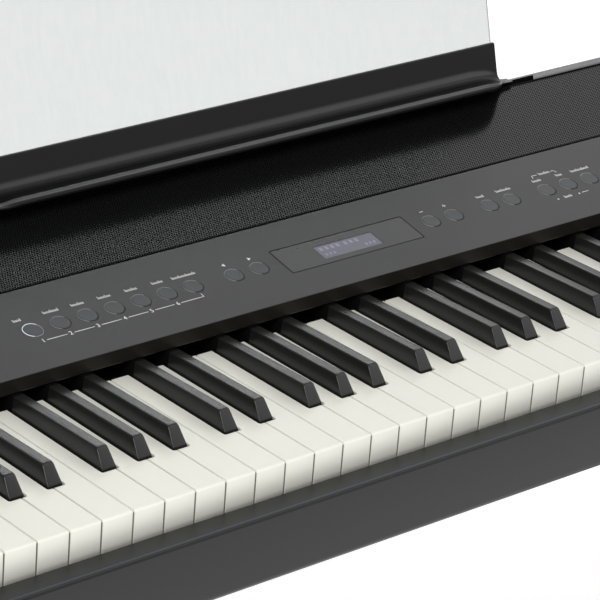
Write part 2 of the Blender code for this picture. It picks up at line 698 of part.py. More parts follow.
def rest_ring(x, lip_y, lip_z, top):
    """The rest's side profile at x: a tab in the slot, a ledge with its lip and an upright."""
    front_y, base_z = REST_UPRIGHT
    top_z = base_z + top
    top_y = front_y + top * math.tan(REST_LEAN)
    profile = [(lip_y, lip_z), *REST_TROUGH, (front_y, base_z), (top_y, top_z),
               (top_y + 2.9, top_z - 0.8), *REST_UNDER, (lip_y + 1.2, lip_z - 3.0)]
    return [(x, KEY_FRONT_Y + y * MM, KEY_TOP_Z + z * MM) for y, z in profile]


def build_music_rest(base_material, clear_material):
    rings = [rest_ring(-x, *rest) for x, *rest in reversed(REST_STATIONS)]
    rings += [rest_ring(x, *rest) for x, *rest in REST_STATIONS]
    loft("music_rest_base", rings, base_material)
    radius = REST_PANEL_CORNER
    half = REST_HALF - 0.5 * MM
    corner = half - radius
    outline = [(-half, 0.0), (half, 0.0)]
    outline += arc((corner, REST_PANEL_LENGTH - radius), radius, 0, 90, 4)
    outline += arc((-corner, REST_PANEL_LENGTH - radius), radius, 90, 180, 4)
    mesh = outline_mesh([outline], REST_PANEL_THICK)
    sheet = new_object("music_rest_panel", mesh, clear_material)
    foot = Vector((0, KEY_FRONT_Y + REST_PANEL_FOOT[0], KEY_TOP_Z + REST_PANEL_FOOT[1]))
    sheet.matrix_world = Matrix.Translation(foot) @ Matrix.Rotation(math.pi / 2 - REST_LEAN, 4, "X")


# ---- Stand ----

def build_stand(board_material, tube_material):
    top = KEY_TOP_Z + CASE_BOTTOM - GAP
    half_y = SIDE_DEPTH / 2
    inner = SIDE_X - SIDE_THICK / 2
    for name, side in (("left", -1), ("right", 1)):
        x = side * SIDE_X
        foot = box("foot_" + name, (x - FOOT_SIZE[0] / 2, -FOOT_SIZE[1] / 2, 0),
                   (x + FOOT_SIZE[0] / 2, FOOT_SIZE[1] / 2, FOOT_SIZE[2]), board_material)
        bevel(foot, 3 * MM, 2)
        side_panel = box("side_panel_" + name, (x - SIDE_THICK / 2, -half_y, FOOT_SIZE[2] + GAP),
                         (x + SIDE_THICK / 2, half_y, top), board_material)
        bevel(side_panel, 1.5 * MM, 1)
    reach = inner - GAP
    box("back_board", (-reach, BACK_BOARD_Y - BACK_BOARD[1] / 2, top - BACK_BOARD[0]),
        (reach, BACK_BOARD_Y + BACK_BOARD[1] / 2, top), board_material)
    tube = box("support_rail", (-reach, RAIL_TUBE_Y - RAIL_TUBE[0] / 2, top - RAIL_TUBE[1]),
               (reach, RAIL_TUBE_Y + RAIL_TUBE[0] / 2, top), tube_material)
    bevel(tube, 3 * MM, 2)


def build():
    clear_scene()
    case = make_material("case_black", (0.035, 0.035, 0.037), 0.45)
    panel = make_material("panel_grey", (0.06, 0.06, 0.063), 0.4)
    grille = make_material("grille_black", (0.02, 0.02, 0.02), 0.6)
    rail = make_material("rail_grey", (0.1, 0.1, 0.1), 0.4)
    rest = make_material("rest_black", (0.02, 0.02, 0.022), 0.35)
    clear = make_material("rest_clear", (0.9, 0.93, 0.92), 0.05, alpha=0.3)
    ivory = make_material("key_white", (0.8, 0.8, 0.76), 0.3)
    ebony = make_material("key_black", (0.02, 0.019, 0.018), 0.5)
    cap = make_material("button_grey", (0.07, 0.07, 0.08), 0.35)
    window = make_material("window_smoke", (0.05, 0.05, 0.06), 0.1)
    module = make_material("display_module", (0.15, 0.16, 0.2), 0.4)
    board = make_material("board_green", (0.02, 0.12, 0.05), 0.5)
    cone = make_material("speaker_cone", (0.03, 0.03, 0.03), 0.8)
    chassis = make_material("chassis_plastic", (0.2, 0.2, 0.2), 0.6)
    stand = make_material("stand_board", (0.025, 0.025, 0.027), 0.5)
    tube = make_material("stand_metal", (0.03, 0.03, 0.03), 0.4, metallic=0.5)

    build_bottom_case(case)
    build_key_slip(case)
    build_end_block("end_block_left", -1, case)
    build_end_block("end_block_right", 1, case)
    build_control_panel(panel)
    build_grille(grille)
    build_rear_cover(rail)
    build_jack_plate(case)
    build_chassis(chassis)
    build_speaker("speaker_left", -SPEAKER_X, cone)
    build_speaker("speaker_right", SPEAKER_X, cone)
    build_display(window, module, board)
    build_controls(cap)
    build_keys(ivory, ebony)
    build_music_rest(rest, clear)
    build_stand(stand, tube)


build()
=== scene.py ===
"""A digital piano with 88 keys on a furniture stand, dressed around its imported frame."""
from math import atan2, cos, pi, radians, sin, tan

import bmesh
import bpy
import numpy as np
from mathutils import Matrix, Vector


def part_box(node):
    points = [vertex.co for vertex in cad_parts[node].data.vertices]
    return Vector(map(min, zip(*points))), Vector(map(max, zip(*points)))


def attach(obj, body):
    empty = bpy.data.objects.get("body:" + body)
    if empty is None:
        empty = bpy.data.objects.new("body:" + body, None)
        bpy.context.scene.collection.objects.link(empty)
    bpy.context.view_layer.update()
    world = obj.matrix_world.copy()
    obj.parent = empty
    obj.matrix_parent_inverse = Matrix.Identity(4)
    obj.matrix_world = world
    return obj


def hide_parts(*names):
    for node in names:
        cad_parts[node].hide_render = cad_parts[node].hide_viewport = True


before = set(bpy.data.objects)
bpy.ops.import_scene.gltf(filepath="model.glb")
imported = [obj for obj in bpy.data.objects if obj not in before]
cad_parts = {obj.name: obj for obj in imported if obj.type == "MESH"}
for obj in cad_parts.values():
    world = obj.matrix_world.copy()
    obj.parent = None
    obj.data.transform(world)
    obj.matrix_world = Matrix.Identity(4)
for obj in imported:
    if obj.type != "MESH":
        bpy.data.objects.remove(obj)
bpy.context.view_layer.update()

MM = 0.001
CASE = "case_and_stand"
REST = "music_rest"

# Where the frame stands: the key fronts and the key tops, which every measure below starts from
middle_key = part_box("white_key_c_4")
KEY_FRONT_Y = middle_key[0].y
KEY_TOP_Z = middle_key[1].z

# Keyboard, in millimetres
PITCH = 23.5
WHITE_KEYS = 52
MIDDLE_GAP = 26
KEY_GAP = 1.0
WHITE_LENGTH = 149.5
WHITE_HEIGHT = 24.0
SIDE_ROLL = 0.2
LEVER_REAR = 219.0
NOTCH = 50.0
NOTCH_WIDTH = 13.4
BLACK_OFFSETS = {"C": -2.4, "D": 2.4, "F": -3.9, "G": 0.0, "A": 3.9}
BLACK_HALF = 5.3
BLACK_TOP_HALF = 4.0
BLACK_RISE = 12.0
BLACK_REAR_RISE = 9.9
BLACK_FRONT = 51.2
BLACK_TOP_FRONT = 60.0
BLACK_REAR = 146.5
BLACK_SHOULDER = 178.0
BLACK_DEPTH = 14.0
BLACK_LEVER_REAR = 229.0
KEY_GROUPS = (("a0_b1", 0, 8), ("c2_b3", 9, 22), ("c5_b6", 30, 43), ("c7_c8", 44, 51))

# Case, in millimetres back from the key fronts and up from the key tops
CASE_HALF = 611.0
CASE_FRONT = -20.0
CASE_REAR = 322.0
CASE_BOTTOM = -70.0
SLOPE = radians(11.5)
PANEL_FRONT = (148.0, 21.5)
PANEL_DEPTH = 82.3
GRILLE_DEPTH = 83.0
RAIL_ROW = PANEL_DEPTH + GRILLE_DEPTH
GRILLE_MIDDLE = PANEL_DEPTH + GRILLE_DEPTH / 2
FALL_FOOT = 11.0
BUTTON_ROW = 39.8
BUTTON_PITCH = 21.8
HOLE_RADIUS = 7.2
BUTTON_SIDES = 56
LIT_BUTTONS = ("tone_button_1", "power_button")
BUTTON_GROUPS = (("tone_button", -270.8, 7), ("page_button", -104.9, 2), ("value_button", 73.8, 2),
                 ("menu_button", 129.9, 2), ("song_button", 186.8, 3))
POWER_X = -590.0
SLIDER_X = -535.0
WINDOW = (-4.5, 39.6)
WINDOW_SIZE = (118.9, 26.9)
WINDOW_GAP = 0.7
READOUT = (-4.75, 38.5)
READOUT_SIZE = (52.2, 14.4)
READOUT_GAP = 0.2
HOLE_PITCH = 2.0
HOLE_ROW_STEP = 1.866
GRILLE_HOLE = 0.82
SLIP_TOP = -19.0
PARTING = -21.5
REAR_FOOT = -29.7
RAIL_FRONT = 311.3
RAIL_RISE = 1.1
RAIL_CROWN = 3.0
SLOT_HALF = 288.0
SLOT_FLARE = 5.4
SLOT_FRONT = 312.6
SLOT_REAR = 317.4
SLOT_FLOOR = 41.2
STEP_FRONT = 307.3
STEP_REAR = 313.3
REST_HALF = 244.0
JACK_X = 430.0
JACK_RISE = 2.0

# Faces above this size, in square metres, are shaded level on the control panel
LARGE_FACE = 1e-4
# A cut goes this far past a face, in millimetres
PAST = 4.0
# Printed marks reach from below the surface to a hair above it
PRINT_LEVELS = (-0.05, 0.06)
LINE_ROW = 27.2
HEAD_POINTS = 24


# ---- Camera ----

def linked(name, data):
    """A new object in the scene."""
    obj = bpy.data.objects.new(name, data)
    bpy.context.scene.collection.objects.link(obj)
    return obj


def aim_camera():
    """A long lens over the player's left shoulder, leaning a little."""
    azimuth, elevation, roll = (radians(turn) for turn in (41.5064, 24.3705, 4.2318))
    aim = (-0.04955, 0.03112, KEY_TOP_Z)
    distance = 2.21996
    camera = linked("camera", bpy.data.cameras.new("camera"))
    camera.data.lens = 194.222
    camera.data.sensor_width = 36
    camera.data.clip_end = 50
    camera.matrix_world = (
        Matrix.Translation(aim) @ Matrix.Rotation(-azimuth, 4, "Z")
        @ Matrix.Rotation(pi / 2 - elevation, 4, "X") @ Matrix.Rotation(roll, 4, "Z")
        @ Matrix.Translation((0, 0, distance)))
    bpy.context.scene.camera = camera


aim_camera()


# ---- Materials ----

class Finish:
    """A procedural finish, built step by step on one Principled shader."""

    def __init__(self, name, roughness, **constants):
        self.material = bpy.data.materials.new("look_" + name)
        self.material.use_nodes = True
        self.nodes = self.material.node_tree.nodes
        self.shader = self.nodes["Principled BSDF"]
        self.feed(self.shader, Roughness=roughness, **constants)
        self.place = self.nodes.new("ShaderNodeTexCoord").outputs["Object"]

    def feed(self, node, **inputs):
        """Set or link a node's inputs, by their names with underscores; returns its outputs."""
        for key, value in inputs.items():
            self.join(value, node.inputs[key.replace("_", " ")])
        return node.outputs

    def join(self, value, socket):
        if isinstance(value, bpy.types.NodeSocket):
            self.material.node_tree.links.new(value, socket)
        else:
            socket.default_value = value

    def noise(self, size_mm, detail=4, stretch=None, rough=0.55):
        """Noise with patches of a size, which a stretch below 1 makes longer on that axis."""
        place = self.place
        if stretch:
            mapping = self.nodes.new("ShaderNodeMapping")
            place = self.feed(mapping, Scale=stretch, Vector=place)["Vector"]
        return self.feed(self.nodes.new("ShaderNodeTexNoise"), Scale=1 / (size_mm * MM),
                         Detail=detail, Roughness=rough, Vector=place)["Fac"]

    def ramp(self, value, *stops):
        """A colour ramp with (position, colour) stops."""
        node = self.nodes.new("ShaderNodeValToRGB")
        ends = node.color_ramp.elements
        for end, (position, color) in ((ends[0], stops[0]), (ends[1], stops[-1])):
            end.position = position
            end.color = (*color, 1)
        for position, color in stops[1:-1]:
            ends.new(position).color = (*color, 1)
        return self.feed(node, Fac=value)["Color"]

    def mix(self, first, second, share):
        """Two colours, with a fixed share of the second."""
        node = self.nodes.new("ShaderNodeMix")
        node.data_type = "RGBA"
        self.join(share, node.inputs["Factor"])
        self.join(first, node.inputs[6])
        self.join(second, node.inputs[7])
        return node.outputs[2]

    def color(self, output):
        self.feed(self.shader, Base_Color=output)

    def roughness(self, value, low, high):
        """Gloss that follows the middle range of a noise."""
        span = self.feed(self.nodes.new("ShaderNodeMapRange"), Value=value, From_Min=0.3,
                         From_Max=0.7, To_Min=low, To_Max=high)
        self.feed(self.shader, Roughness=span["Result"])

    def bump(self, value, height_mm):
        """Relief, on top of any relief that is already there."""
        node = self.nodes.new("ShaderNodeBump")
        for link in self.shader.inputs["Normal"].links:
            self.feed(node, Normal=link.from_socket)
        relief = self.feed(node, Distance=height_mm * MM, Strength=1.0, Height=value)
        self.feed(self.shader, Normal=relief["Normal"])


def grey(level):
    return (level, level, level)


def shades(color, spread):
    """A darker and a lighter neighbour of a colour."""
    return [tuple(min(1, c * share) for c in color) for share in (1 - spread, 1 + spread)]


def moulded(name, color, roughness, spread=0.06, grain_mm=0.35, height_mm=0.012, **constants):
    """Moulded plastic or paint: slow drift of tone, fine spark grain and slightly uneven gloss."""
    look = Finish(name, roughness, **constants)
    low, high = shades(color, spread)
    drift = look.noise(60, 3)
    grain = look.noise(grain_mm, 2)
    tone = look.ramp(drift, (0.3, low), (0.7, high))
    dark, light = shades(color, spread * 1.5)
    look.color(look.mix(tone, look.ramp(grain, (0.35, dark), (0.65, light)), 0.35))
    look.roughness(look.noise(40, 2), roughness - 0.012, roughness + 0.012)
    look.bump(grain, height_mm)
    return look.material


def brushed(name, color, roughness, stretch=(1.0, 1.0, 1.0), metallic=1.0):
    """Metal with a fine grain."""
    look = Finish(name, roughness, Metallic=metallic)
    low, high = shades(color, 0.12)
    lines = look.noise(0.5, 5, stretch)
    look.color(look.ramp(lines, (0.3, low), (0.7, high)))
    look.roughness(look.noise(6, 4), roughness - 0.06, roughness + 0.08)
    look.bump(lines, 0.006)
    return look.material


def board_finish():
    """Black laminate with a pressed ash grain that runs along the board's height."""
    look = Finish("stand_board", 0.45)
    grain = look.noise(5, 8, (1.0, 1.0, 0.06), 0.65)
    pores = look.noise(0.9, 4, (1.0, 1.0, 0.03))
    tone = look.ramp(grain, (0.3, (0.012, 0.012, 0.013)), (0.55, (0.021, 0.021, 0.022)),
                     (0.72, (0.034, 0.033, 0.033)))
    fleck = look.ramp(pores, (0.42, grey(0.006)), (0.55, (0.022, 0.022, 0.023)))
    look.color(look.mix(tone, fleck, 0.45))
    look.roughness(pores, 0.4, 0.58)
    look.bump(grain, 0.03)
    look.bump(pores, 0.03)
    return look.material


def glow(name, color, strength):
    """A lit surface, a little uneven like a light pipe."""
    look = Finish(name, 0.35)
    low, high = shades(color, 0.05)
    patch = look.ramp(look.noise(7, 3), (0.3, low), (0.7, high))
    look.color(patch)
    look.feed(look.shader, Emission_Color=patch, Emission_Strength=strength)
    return look.material


def acrylic():
    """Clear acrylic with a faint green cast and fine wiping marks."""
    look = Finish("rest_clear", 0.06, Transmission_Weight=1.0, IOR=1.49)
    wipes = look.noise(3, 6, (1.0, 0.2, 0.2))
    look.color(look.ramp(wipes, (0.3, (0.69, 0.715, 0.708)), (0.7, (0.72, 0.742, 0.734))))
    look.roughness(wipes, 0.03, 0.09)
    return look.material


def paper_cone():
    """Black paper with a coarse fibre."""
    look = Finish("speaker_cone", 0.8)
    fibre = look.noise(0.8, 6)
    look.color(look.ramp(fibre, (0.3, grey(0.008)), (0.7, (0.03, 0.029, 0.028))))
    look.bump(fibre, 0.06)
    return look.material


def circuit():
    """Green solder mask with lighter tracks under it."""
    look = Finish("board_green", 0.35)
    cells = look.nodes.new("ShaderNodeTexVoronoi")
    cells.distance = "MANHATTAN"
    tracks = look.feed(cells, Scale=160, Vector=look.place)["Distance"]
    look.color(look.ramp(tracks, (0.28, (0.015, 0.10, 0.04)), (0.36, (0.05, 0.22, 0.09))))
    look.bump(tracks, 0.03)
    return look.material


def ivory():
    """Key white: warm, with a soft sheen and very fine surface grain."""
    look = Finish("key_white", 0.3, Specular_IOR_Level=0.2)
    drift = look.ramp(look.noise(90, 2), (0.3, (0.80, 0.80, 0.722)), (0.7, (0.82, 0.82, 0.742)))
    fine = look.noise(0.25, 3)
    speck = look.ramp(fine, (0.3, (0.79, 0.79, 0.712)), (0.7, (0.83, 0.83, 0.752)))
    look.color(look.mix(drift, speck, 0.4))
    look.roughness(look.noise(40, 2), 0.31, 0.335)
    look.bump(fine, 0.0008)
    return look.material


def ebony():
    """Key black: matt top with a fine lengthwise grain."""
    look = Finish("key_black", 0.32)
    grain = look.noise(0.5, 4, (1.0, 0.35, 1.0))
    look.color(look.ramp(grain, (0.3, (0.008, 0.008, 0.0078)), (0.7, (0.014, 0.0138, 0.013))))
    look.roughness(look.noise(30, 2), 0.32, 0.345)
    look.bump(grain, 0.001)
    return look.material


# The look of each slot, by the slot's name
LOOKS = {look.name.removeprefix("look_"): look for look in (
    moulded("case_black", (0.006, 0.006, 0.0064), 0.32, height_mm=0.003, Specular_IOR_Level=0.41),
    moulded("panel_grey", (0.017, 0.017, 0.0172), 0.3, grain_mm=0.8, height_mm=0.001),
    moulded("grille_black", (0.009, 0.0093, 0.0098), 0.2, grain_mm=4, height_mm=0.0003,
            Specular_IOR_Level=0.49),
    moulded("rail_grey", grey(0.135), 0.4),
    moulded("rest_black", grey(0.003), 0.3, grain_mm=1.0, height_mm=0.0005),
    acrylic(),
    ivory(),
    ebony(),
    moulded("button_grey", (0.031, 0.037, 0.042), 0.3, height_mm=0.001),
    moulded("window_smoke", (0.034, 0.034, 0.036), 0.28, height_mm=0.001),
    brushed("display_module", grey(0.5), 0.35, (1.0, 0.1, 1.0)),
    circuit(),
    paper_cone(),
    moulded("chassis_plastic", (0.008, 0.008, 0.0085), 0.6),
    board_finish(),
    moulded("stand_metal", (0.02, 0.02, 0.021), 0.35, grain_mm=0.6, height_mm=0.03),
)}
# The front face of the panel's fall: glossy black, with a warm tint that is a painted reflection of
# the keys
FALL_BLACK_PAINTED_REFLECTION = moulded("fallboard_black", (0.0075, 0.0068, 0.005), 0.42, Specular_IOR_Level=0.22)
# Unlit light pipes round the buttons: light grey as a painted highlight on the side towards the
# light, near black as painted shade on the far side
PIPE_PAINTED_HIGHLIGHT = moulded("light_pipe", (0.26, 0.265, 0.27), 0.2, grain_mm=2, height_mm=0.002)
PIPE_PAINTED_SHADE = moulded("light_pipe_painted_shade", (0.01, 0.01, 0.011), 0.3, grain_mm=2, height_mm=0.002)
# Painted highlight: a lighter grey on the rounded lip of the music rest
REST_LIP_PAINTED_HIGHLIGHT = moulded("rest_lip_painted_highlight", (0.055, 0.055, 0.057), 0.3, height_mm=0.0005)
REST_LEDGE = moulded("rest_ledge", grey(0.0035), 0.5, height_mm=0.001, Specular_IOR_Level=0.12)
# Painted highlight: a lighter blue-grey on the rolled nose of the key slip, where a bright light
# would glint
SLIP_PAINTED_HIGHLIGHT = moulded("slip_painted_highlight", (0.03, 0.033, 0.039), 0.3)
# Painted shade: the white keys' sides are a darker beige, so the gaps between the keys read darker
KEY_SIDE_PAINTED_SHADE = moulded("key_side", (0.33, 0.31, 0.27), 0.5, grain_mm=0.8, height_mm=0.005)
INK = moulded("ink", (0.8, 0.8, 0.78), 0.5, height_mm=0.003)
# Near black: the own colour of the grille cloth and the data socket's tongue, and painted shade on
# hidden key parts, in the grille's channel and inside the rest's recess
BLACK_AND_PAINTED_SHADE = moulded("black_and_painted_shade", grey(0.002), 0.9, Specular_IOR_Level=0.1)
STEEL = brushed("steel", (0.45, 0.45, 0.46), 0.3)
BLACK_STEEL = brushed("black_steel", (0.05, 0.05, 0.052), 0.38, metallic=0.8)
RING_LIGHT = glow("ring_light", (0.8, 0.82, 0.86), 0.4)
# The far side of the lit rings glows less, as painted shade
RING_PAINTED_SHADE = glow("ring_dim", (0.30, 0.31, 0.33), 0.12)
LCD_LIGHT = glow("lcd", (0.105, 0.105, 0.132), 0.3)
LCD_MARK = glow("lcd_mark", (0.19, 0.195, 0.26), 0.3)
# The way across a button's ring towards its side with the painted highlight; its far side takes
# painted shade
PAINTED_HIGHLIGHT_SIDE = Vector((-0.8, 0.6, 0.0))


# ---- Shapes ----

def at(x, y, z):
    """A place from millimetres right, back from the key fronts and up from the key tops."""
    return Vector((x * MM, KEY_FRONT_Y + y * MM, KEY_TOP_Z + z * MM))


SCALE = Matrix.Scale(MM, 4)
FROM_KEYS = Matrix.Translation((0, KEY_FRONT_Y, KEY_TOP_Z)) @ SCALE


def on_panel(x, row=BUTTON_ROW, rise=0.0):
    """The place on the sloped panel, with Z along its normal, for a shape in millimetres."""
    start = Matrix.Translation((x, PANEL_FRONT[0], PANEL_FRONT[1]))
    return FROM_KEYS @ start @ Matrix.Rotation(SLOPE, 4, "X") @ Matrix.Translation((0, row, rise))


def facing_back(x, z, y=CASE_REAR):
    """The place on the rear face, with Z pointing out of it."""
    return FROM_KEYS @ Matrix.Translation((x, y, z)) @ Matrix.Rotation(-pi / 2, 4, "X")


def recalculated(mesh):
    """The same mesh with all its faces turned outwards."""
    bm = bmesh.new()
    bm.from_mesh(mesh)
    bmesh.ops.recalc_face_normals(bm, faces=bm.faces)
    bm.to_mesh(mesh)
    bm.free()
    return mesh


def evaluated(obj, *helpers):
    """A mesh of an object with its modifiers applied; the object and its helpers go."""
    bpy.context.view_layer.update()
    mesh = bpy.data.meshes.new_from_object(
        obj.evaluated_get(bpy.context.evaluated_depsgraph_get()))
    for spent in (obj, *helpers):
        bpy.data.objects.remove(spent, do_unlink=True)
    return mesh


def piece(name, shape, look, body, replaced=(), sharp=38, others=()):
    """Finish a mesh, or closed shells, as one piece that rides on a body.

    It may stand for CAD nodes. The look is a name in LOOKS or a material. Others are further
    looks, each with a test of a face's normal and centre that picks its faces. Edges above the
    sharp angle, in degrees, stay crisp."""
    mesh = recalculated(to_mesh(name, shape) if isinstance(shape, list) else shape)
    mesh.shade_smooth()
    if sharp:
        mesh.set_sharp_from_angle(angle=radians(sharp))
    mesh.materials.clear()
    mesh.materials.append(LOOKS[look] if isinstance(look, str) else look)
    for index, (extra, test) in enumerate(others, start=1):
        mesh.materials.append(extra)
        for polygon in mesh.polygons:
            if test(polygon.normal, polygon.center):
                polygon.material_index = index
    obj = linked(name, mesh)
    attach(obj, body)
    if replaced:
        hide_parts(*replaced)
    return obj


def hold_flat(mesh):
    """Shade the large flat faces level right up to their edges and holes."""
    normals = [corner.vector.copy() for corner in mesh.corner_normals]
    for polygon in mesh.polygons:
        if polygon.area > LARGE_FACE:
            for corner in polygon.loop_indices:
                normals[corner] = polygon.normal.copy()
    mesh.normals_split_custom_set(normals)


def to_mesh(name, shells, tube=False):
    """Rings of points, in one or more closed shells, as one mesh.

    The ends are capped, or on a tube the last ring joins the first."""
    verts, faces = [], []
    for rings in shells:
        start = len(verts)
        count = len(rings[0])
        for ring in rings:
            verts.extend(ring)
        last = start + (len(rings) - 1) * count
        for a in range(start, last + count if tube else last, count):
            b = start if a == last else a + count
            for i in range(count):
                j = (i + 1) % count
                faces.append((a + i, a + j, b + j, b + i))
        if not tube:
            faces.append(tuple(range(start + count - 1, start - 1, -1)))
            faces.append(tuple(range(last, last + count)))
    mesh = bpy.data.meshes.new(name)
    mesh.from_pydata([tuple(v) for v in verts], [], faces)
    return mesh


def rounded(corners, steps=4):
    """A closed outline whose corners (x, y, radius) are turned into arcs.

    Two arcs share the edge between them in proportion to their radii."""
    points = []
    for i, (x, y, radius) in enumerate(corners):
        if radius <= 0:
            points.append((x, y))
            continue
        corner = Vector((x, y))
        ways, rooms = [], []
        for *place, other in (corners[i - 1], corners[(i + 1) % len(corners)]):
            edge = Vector(place) - corner
            ways.append(edge.normalized())
            rooms.append(0.98 * radius / (radius + other) * edge.length)
        half = ways[0].angle(ways[1]) / 2
        reach = min(radius / tan(half), *rooms)
        real = reach * tan(half)
        centre = corner + (ways[0] + ways[1]).normalized() * (real / sin(half))
        first, last = (corner + way * reach - centre for way in ways)
        start = atan2(first.y, first.x)
        sweep = (atan2(last.y, last.x) - start + pi) % (2 * pi) - pi
        for step in range(steps + 1):
            angle = start + sweep * step / steps
            points.append((centre.x + real * cos(angle), centre.y + real * sin(angle)))
    return points


def soft_levels(low, high, edge, low_edge=None):
    """(inset, height) pairs of a slab with rounded edges and flat faces."""
    low_edge = edge if low_edge is None else low_edge
    turns = [pi / 6 * step for step in range(4)]
    return ([(low_edge * 1.6, low)]
            + [(low_edge * (1 - sin(turn)), low + low_edge * (1 - cos(turn))) for turn in turns]
            + [(edge * (1 - cos(turn)), high - edge * (1 - sin(turn))) for turn in turns]
            + [(edge * 1.6, high)])


def slab(outline, levels, place):
    """The rings of a slab from an outline that takes an inset."""
    return [[place @ Vector((x, y, z)) for x, y in outline(inset)] for inset, z in levels]


def rectangle(width, depth, radius, steps=4):
    """An outline that takes an inset, round its own middle."""
    def outline(inset):
        x = width / 2 - inset
        y = depth / 2 - inset
        r = max(radius - inset, 0.05)
        return rounded([(-x, -y, r), (x, -y, r), (x, y, r), (-x, y, r)], steps)
    return outline


def bar(profile):
    """The rings of a side profile of (y, z) points run along the whole case."""
    return [[FROM_KEYS @ Vector((x, y, z)) for y, z in profile] for x in (-CASE_HALF, CASE_HALF)]


def turned(profile, place, segments=48):
    """The rings of a profile of (radius, height) pairs turned about Z; no radius is nought."""
    rings = []
    for radius, height in profile:
        rings.append([place @ Vector((radius * cos(a), radius * sin(a), height))
                      for a in (2 * pi * i / segments for i in range(segments))])
    return rings


def cut(mesh, cutter_mesh):
    """One mesh cut by another."""
    obj, cutter = (linked("cut", recalculated(data)) for data in (mesh, cutter_mesh))
    modifier = obj.modifiers.new("cut", "BOOLEAN")
    modifier.operation = "DIFFERENCE"
    modifier.object = cutter
    modifier.solver = "EXACT"
    return evaluated(obj, cutter)


def panel_point(along, depth=0.0):
    """(y, z) at a distance up the panel's slope and below its surface."""
    return (PANEL_FRONT[0] + along * cos(SLOPE) + depth * sin(SLOPE),
            PANEL_FRONT[1] + along * sin(SLOPE) - depth * cos(SLOPE))


# ---- Keys ----

def letter(white):
    """The letter of a white key, from 0 at the left end."""
    return "ABCDEFG"[white % 7]


def gap_x(gap):
    """X of the gap between the white keys gap - 1 and gap."""
    return (gap - MIDDLE_GAP) * PITCH


def has_black(gap):
    """Whether a black key stands over a gap."""
    return 0 < gap < WHITE_KEYS and letter(gap - 1) in BLACK_OFFSETS


def black_x(gap):
    return gap_x(gap) + BLACK_OFFSETS[letter(gap - 1)]


def key_sides(white, inset):
    """X of the left and right edges of a white key's head, then of its tail."""
    side = SIDE_ROLL * inset
    left = gap_x(white) + KEY_GAP / 2 + side
    right = gap_x(white + 1) - KEY_GAP / 2 - side
    tail_left = black_x(white) + NOTCH_WIDTH / 2 + side if has_black(white) else left
    tail_right = black_x(white + 1) - NOTCH_WIDTH / 2 - side if has_black(white + 1) else right
    return left, right, tail_left, tail_right


def key_outline(white, rear):
    """A white key in plan, with rounded head corners and filleted notches, taking an inset."""
    def outline(inset):
        left, right, tail_left, tail_right = key_sides(white, inset)
        corner = max(0.7 - inset, 0.1)
        fillet = 0.5 + inset
        notch = NOTCH - inset
        start, end = [], []
        if has_black(white):
            start = [(tail_left, notch, fillet), (left, notch, corner)]
        if has_black(white + 1):
            end = [(right, notch, corner), (tail_right, notch, fillet)]
        head = [(left, inset, corner), (right, inset, corner)]
        tail = [(tail_right, rear, 0), (tail_left, rear, 0)]
        return rounded(start + head + end + tail, 3)
    return outline


def white_key(white):
    """A moulded key with a rolled top edge, and the lever behind it that the panel hides."""
    head = [(0.5, -WHITE_HEIGHT), (0.05, 0.5 - WHITE_HEIGHT), (0.0, -8.0), (0.0, -1.6),
            (0.12, -0.95), (0.45, -0.45), (0.95, -0.12), (1.6, 0.0), (2.4, 0.0)]
    _, _, tail_left, tail_right = key_sides(white, 0.6)
    middle = (tail_left + tail_right) / 2
    place = FROM_KEYS @ Matrix.Translation((middle, (WHITE_LENGTH + LEVER_REAR) / 2, 0))
    lever = slab(rectangle(tail_right - tail_left, LEVER_REAR - WHITE_LENGTH, 0.6),
                 soft_levels(-WHITE_HEIGHT + 0.5, -5.5, 0.5), place)
    return [slab(key_outline(white, WHITE_LENGTH), head, FROM_KEYS), lever]


def black_section(x, y, top):
    """One cross-section of a black key: tapered sides, rounded shoulders and a slight crown."""
    points = [(BLACK_HALF, -BLACK_DEPTH), (BLACK_HALF, 0.0)]
    radius = min(0.95, max(0.15, 0.45 * top))
    taper = (BLACK_HALF - BLACK_TOP_HALF) / BLACK_RISE
    for step in range(5):
        turn = pi / 2 * step / 4
        z = top - radius + radius * sin(turn)
        roll = radius * (1 - cos(turn))
        points.append((BLACK_HALF - taper * max(z, 0.0) - roll, max(z, 0.02)))
    points.append((1.6, top))
    outline = [(-half, z) for half, z in points] + [(half, z) for half, z in reversed(points)]
    return [at(x + half, y, z) for half, z in outline]


def black_key(gap):
    """A black key: steep front, rolled nose and a top that falls a little towards the back."""
    x = black_x(gap)
    slope = rounded([(BLACK_FRONT, -2.0, 0), (BLACK_FRONT, 0.5, 0.8),
                     (BLACK_TOP_FRONT - 0.6, BLACK_RISE, 3.2), (BLACK_REAR, BLACK_REAR_RISE, 0)], 7)
    slope.append((BLACK_SHOULDER, BLACK_REAR_RISE - 0.7))
    stations = [(y, z) for y, z in slope[1:] if z > 0.3]
    rings = [black_section(x, y + 0.001 * i, z) for i, (y, z) in enumerate(stations)]
    half = BLACK_HALF - 0.6
    corners = ((-half, 1.0), (half, 1.0), (half, 8.5), (-half, 8.5))
    lever = [[at(x + side, y, z) for side, z in corners]
             for y in (BLACK_SHOULDER, BLACK_LEVER_REAR)]
    return [rings, lever]


def key_bodies():
    """Each key as (kind, index, body), from the left: a comb's body, or its own in the middle."""
    rows = []
    for white in range(WHITE_KEYS):
        group = ["_keys_" + name for name, first, last in KEY_GROUPS if first <= white <= last]
        single = "_key_" + letter(white).lower()
        rows.append(("white", white, "white" + (group[0] if group else single + "_4")))
        if has_black(white + 1):
            name = group[0] if group else single + "_sharp_4"
            rows.append(("black", white + 1, "black" + name))
    return rows


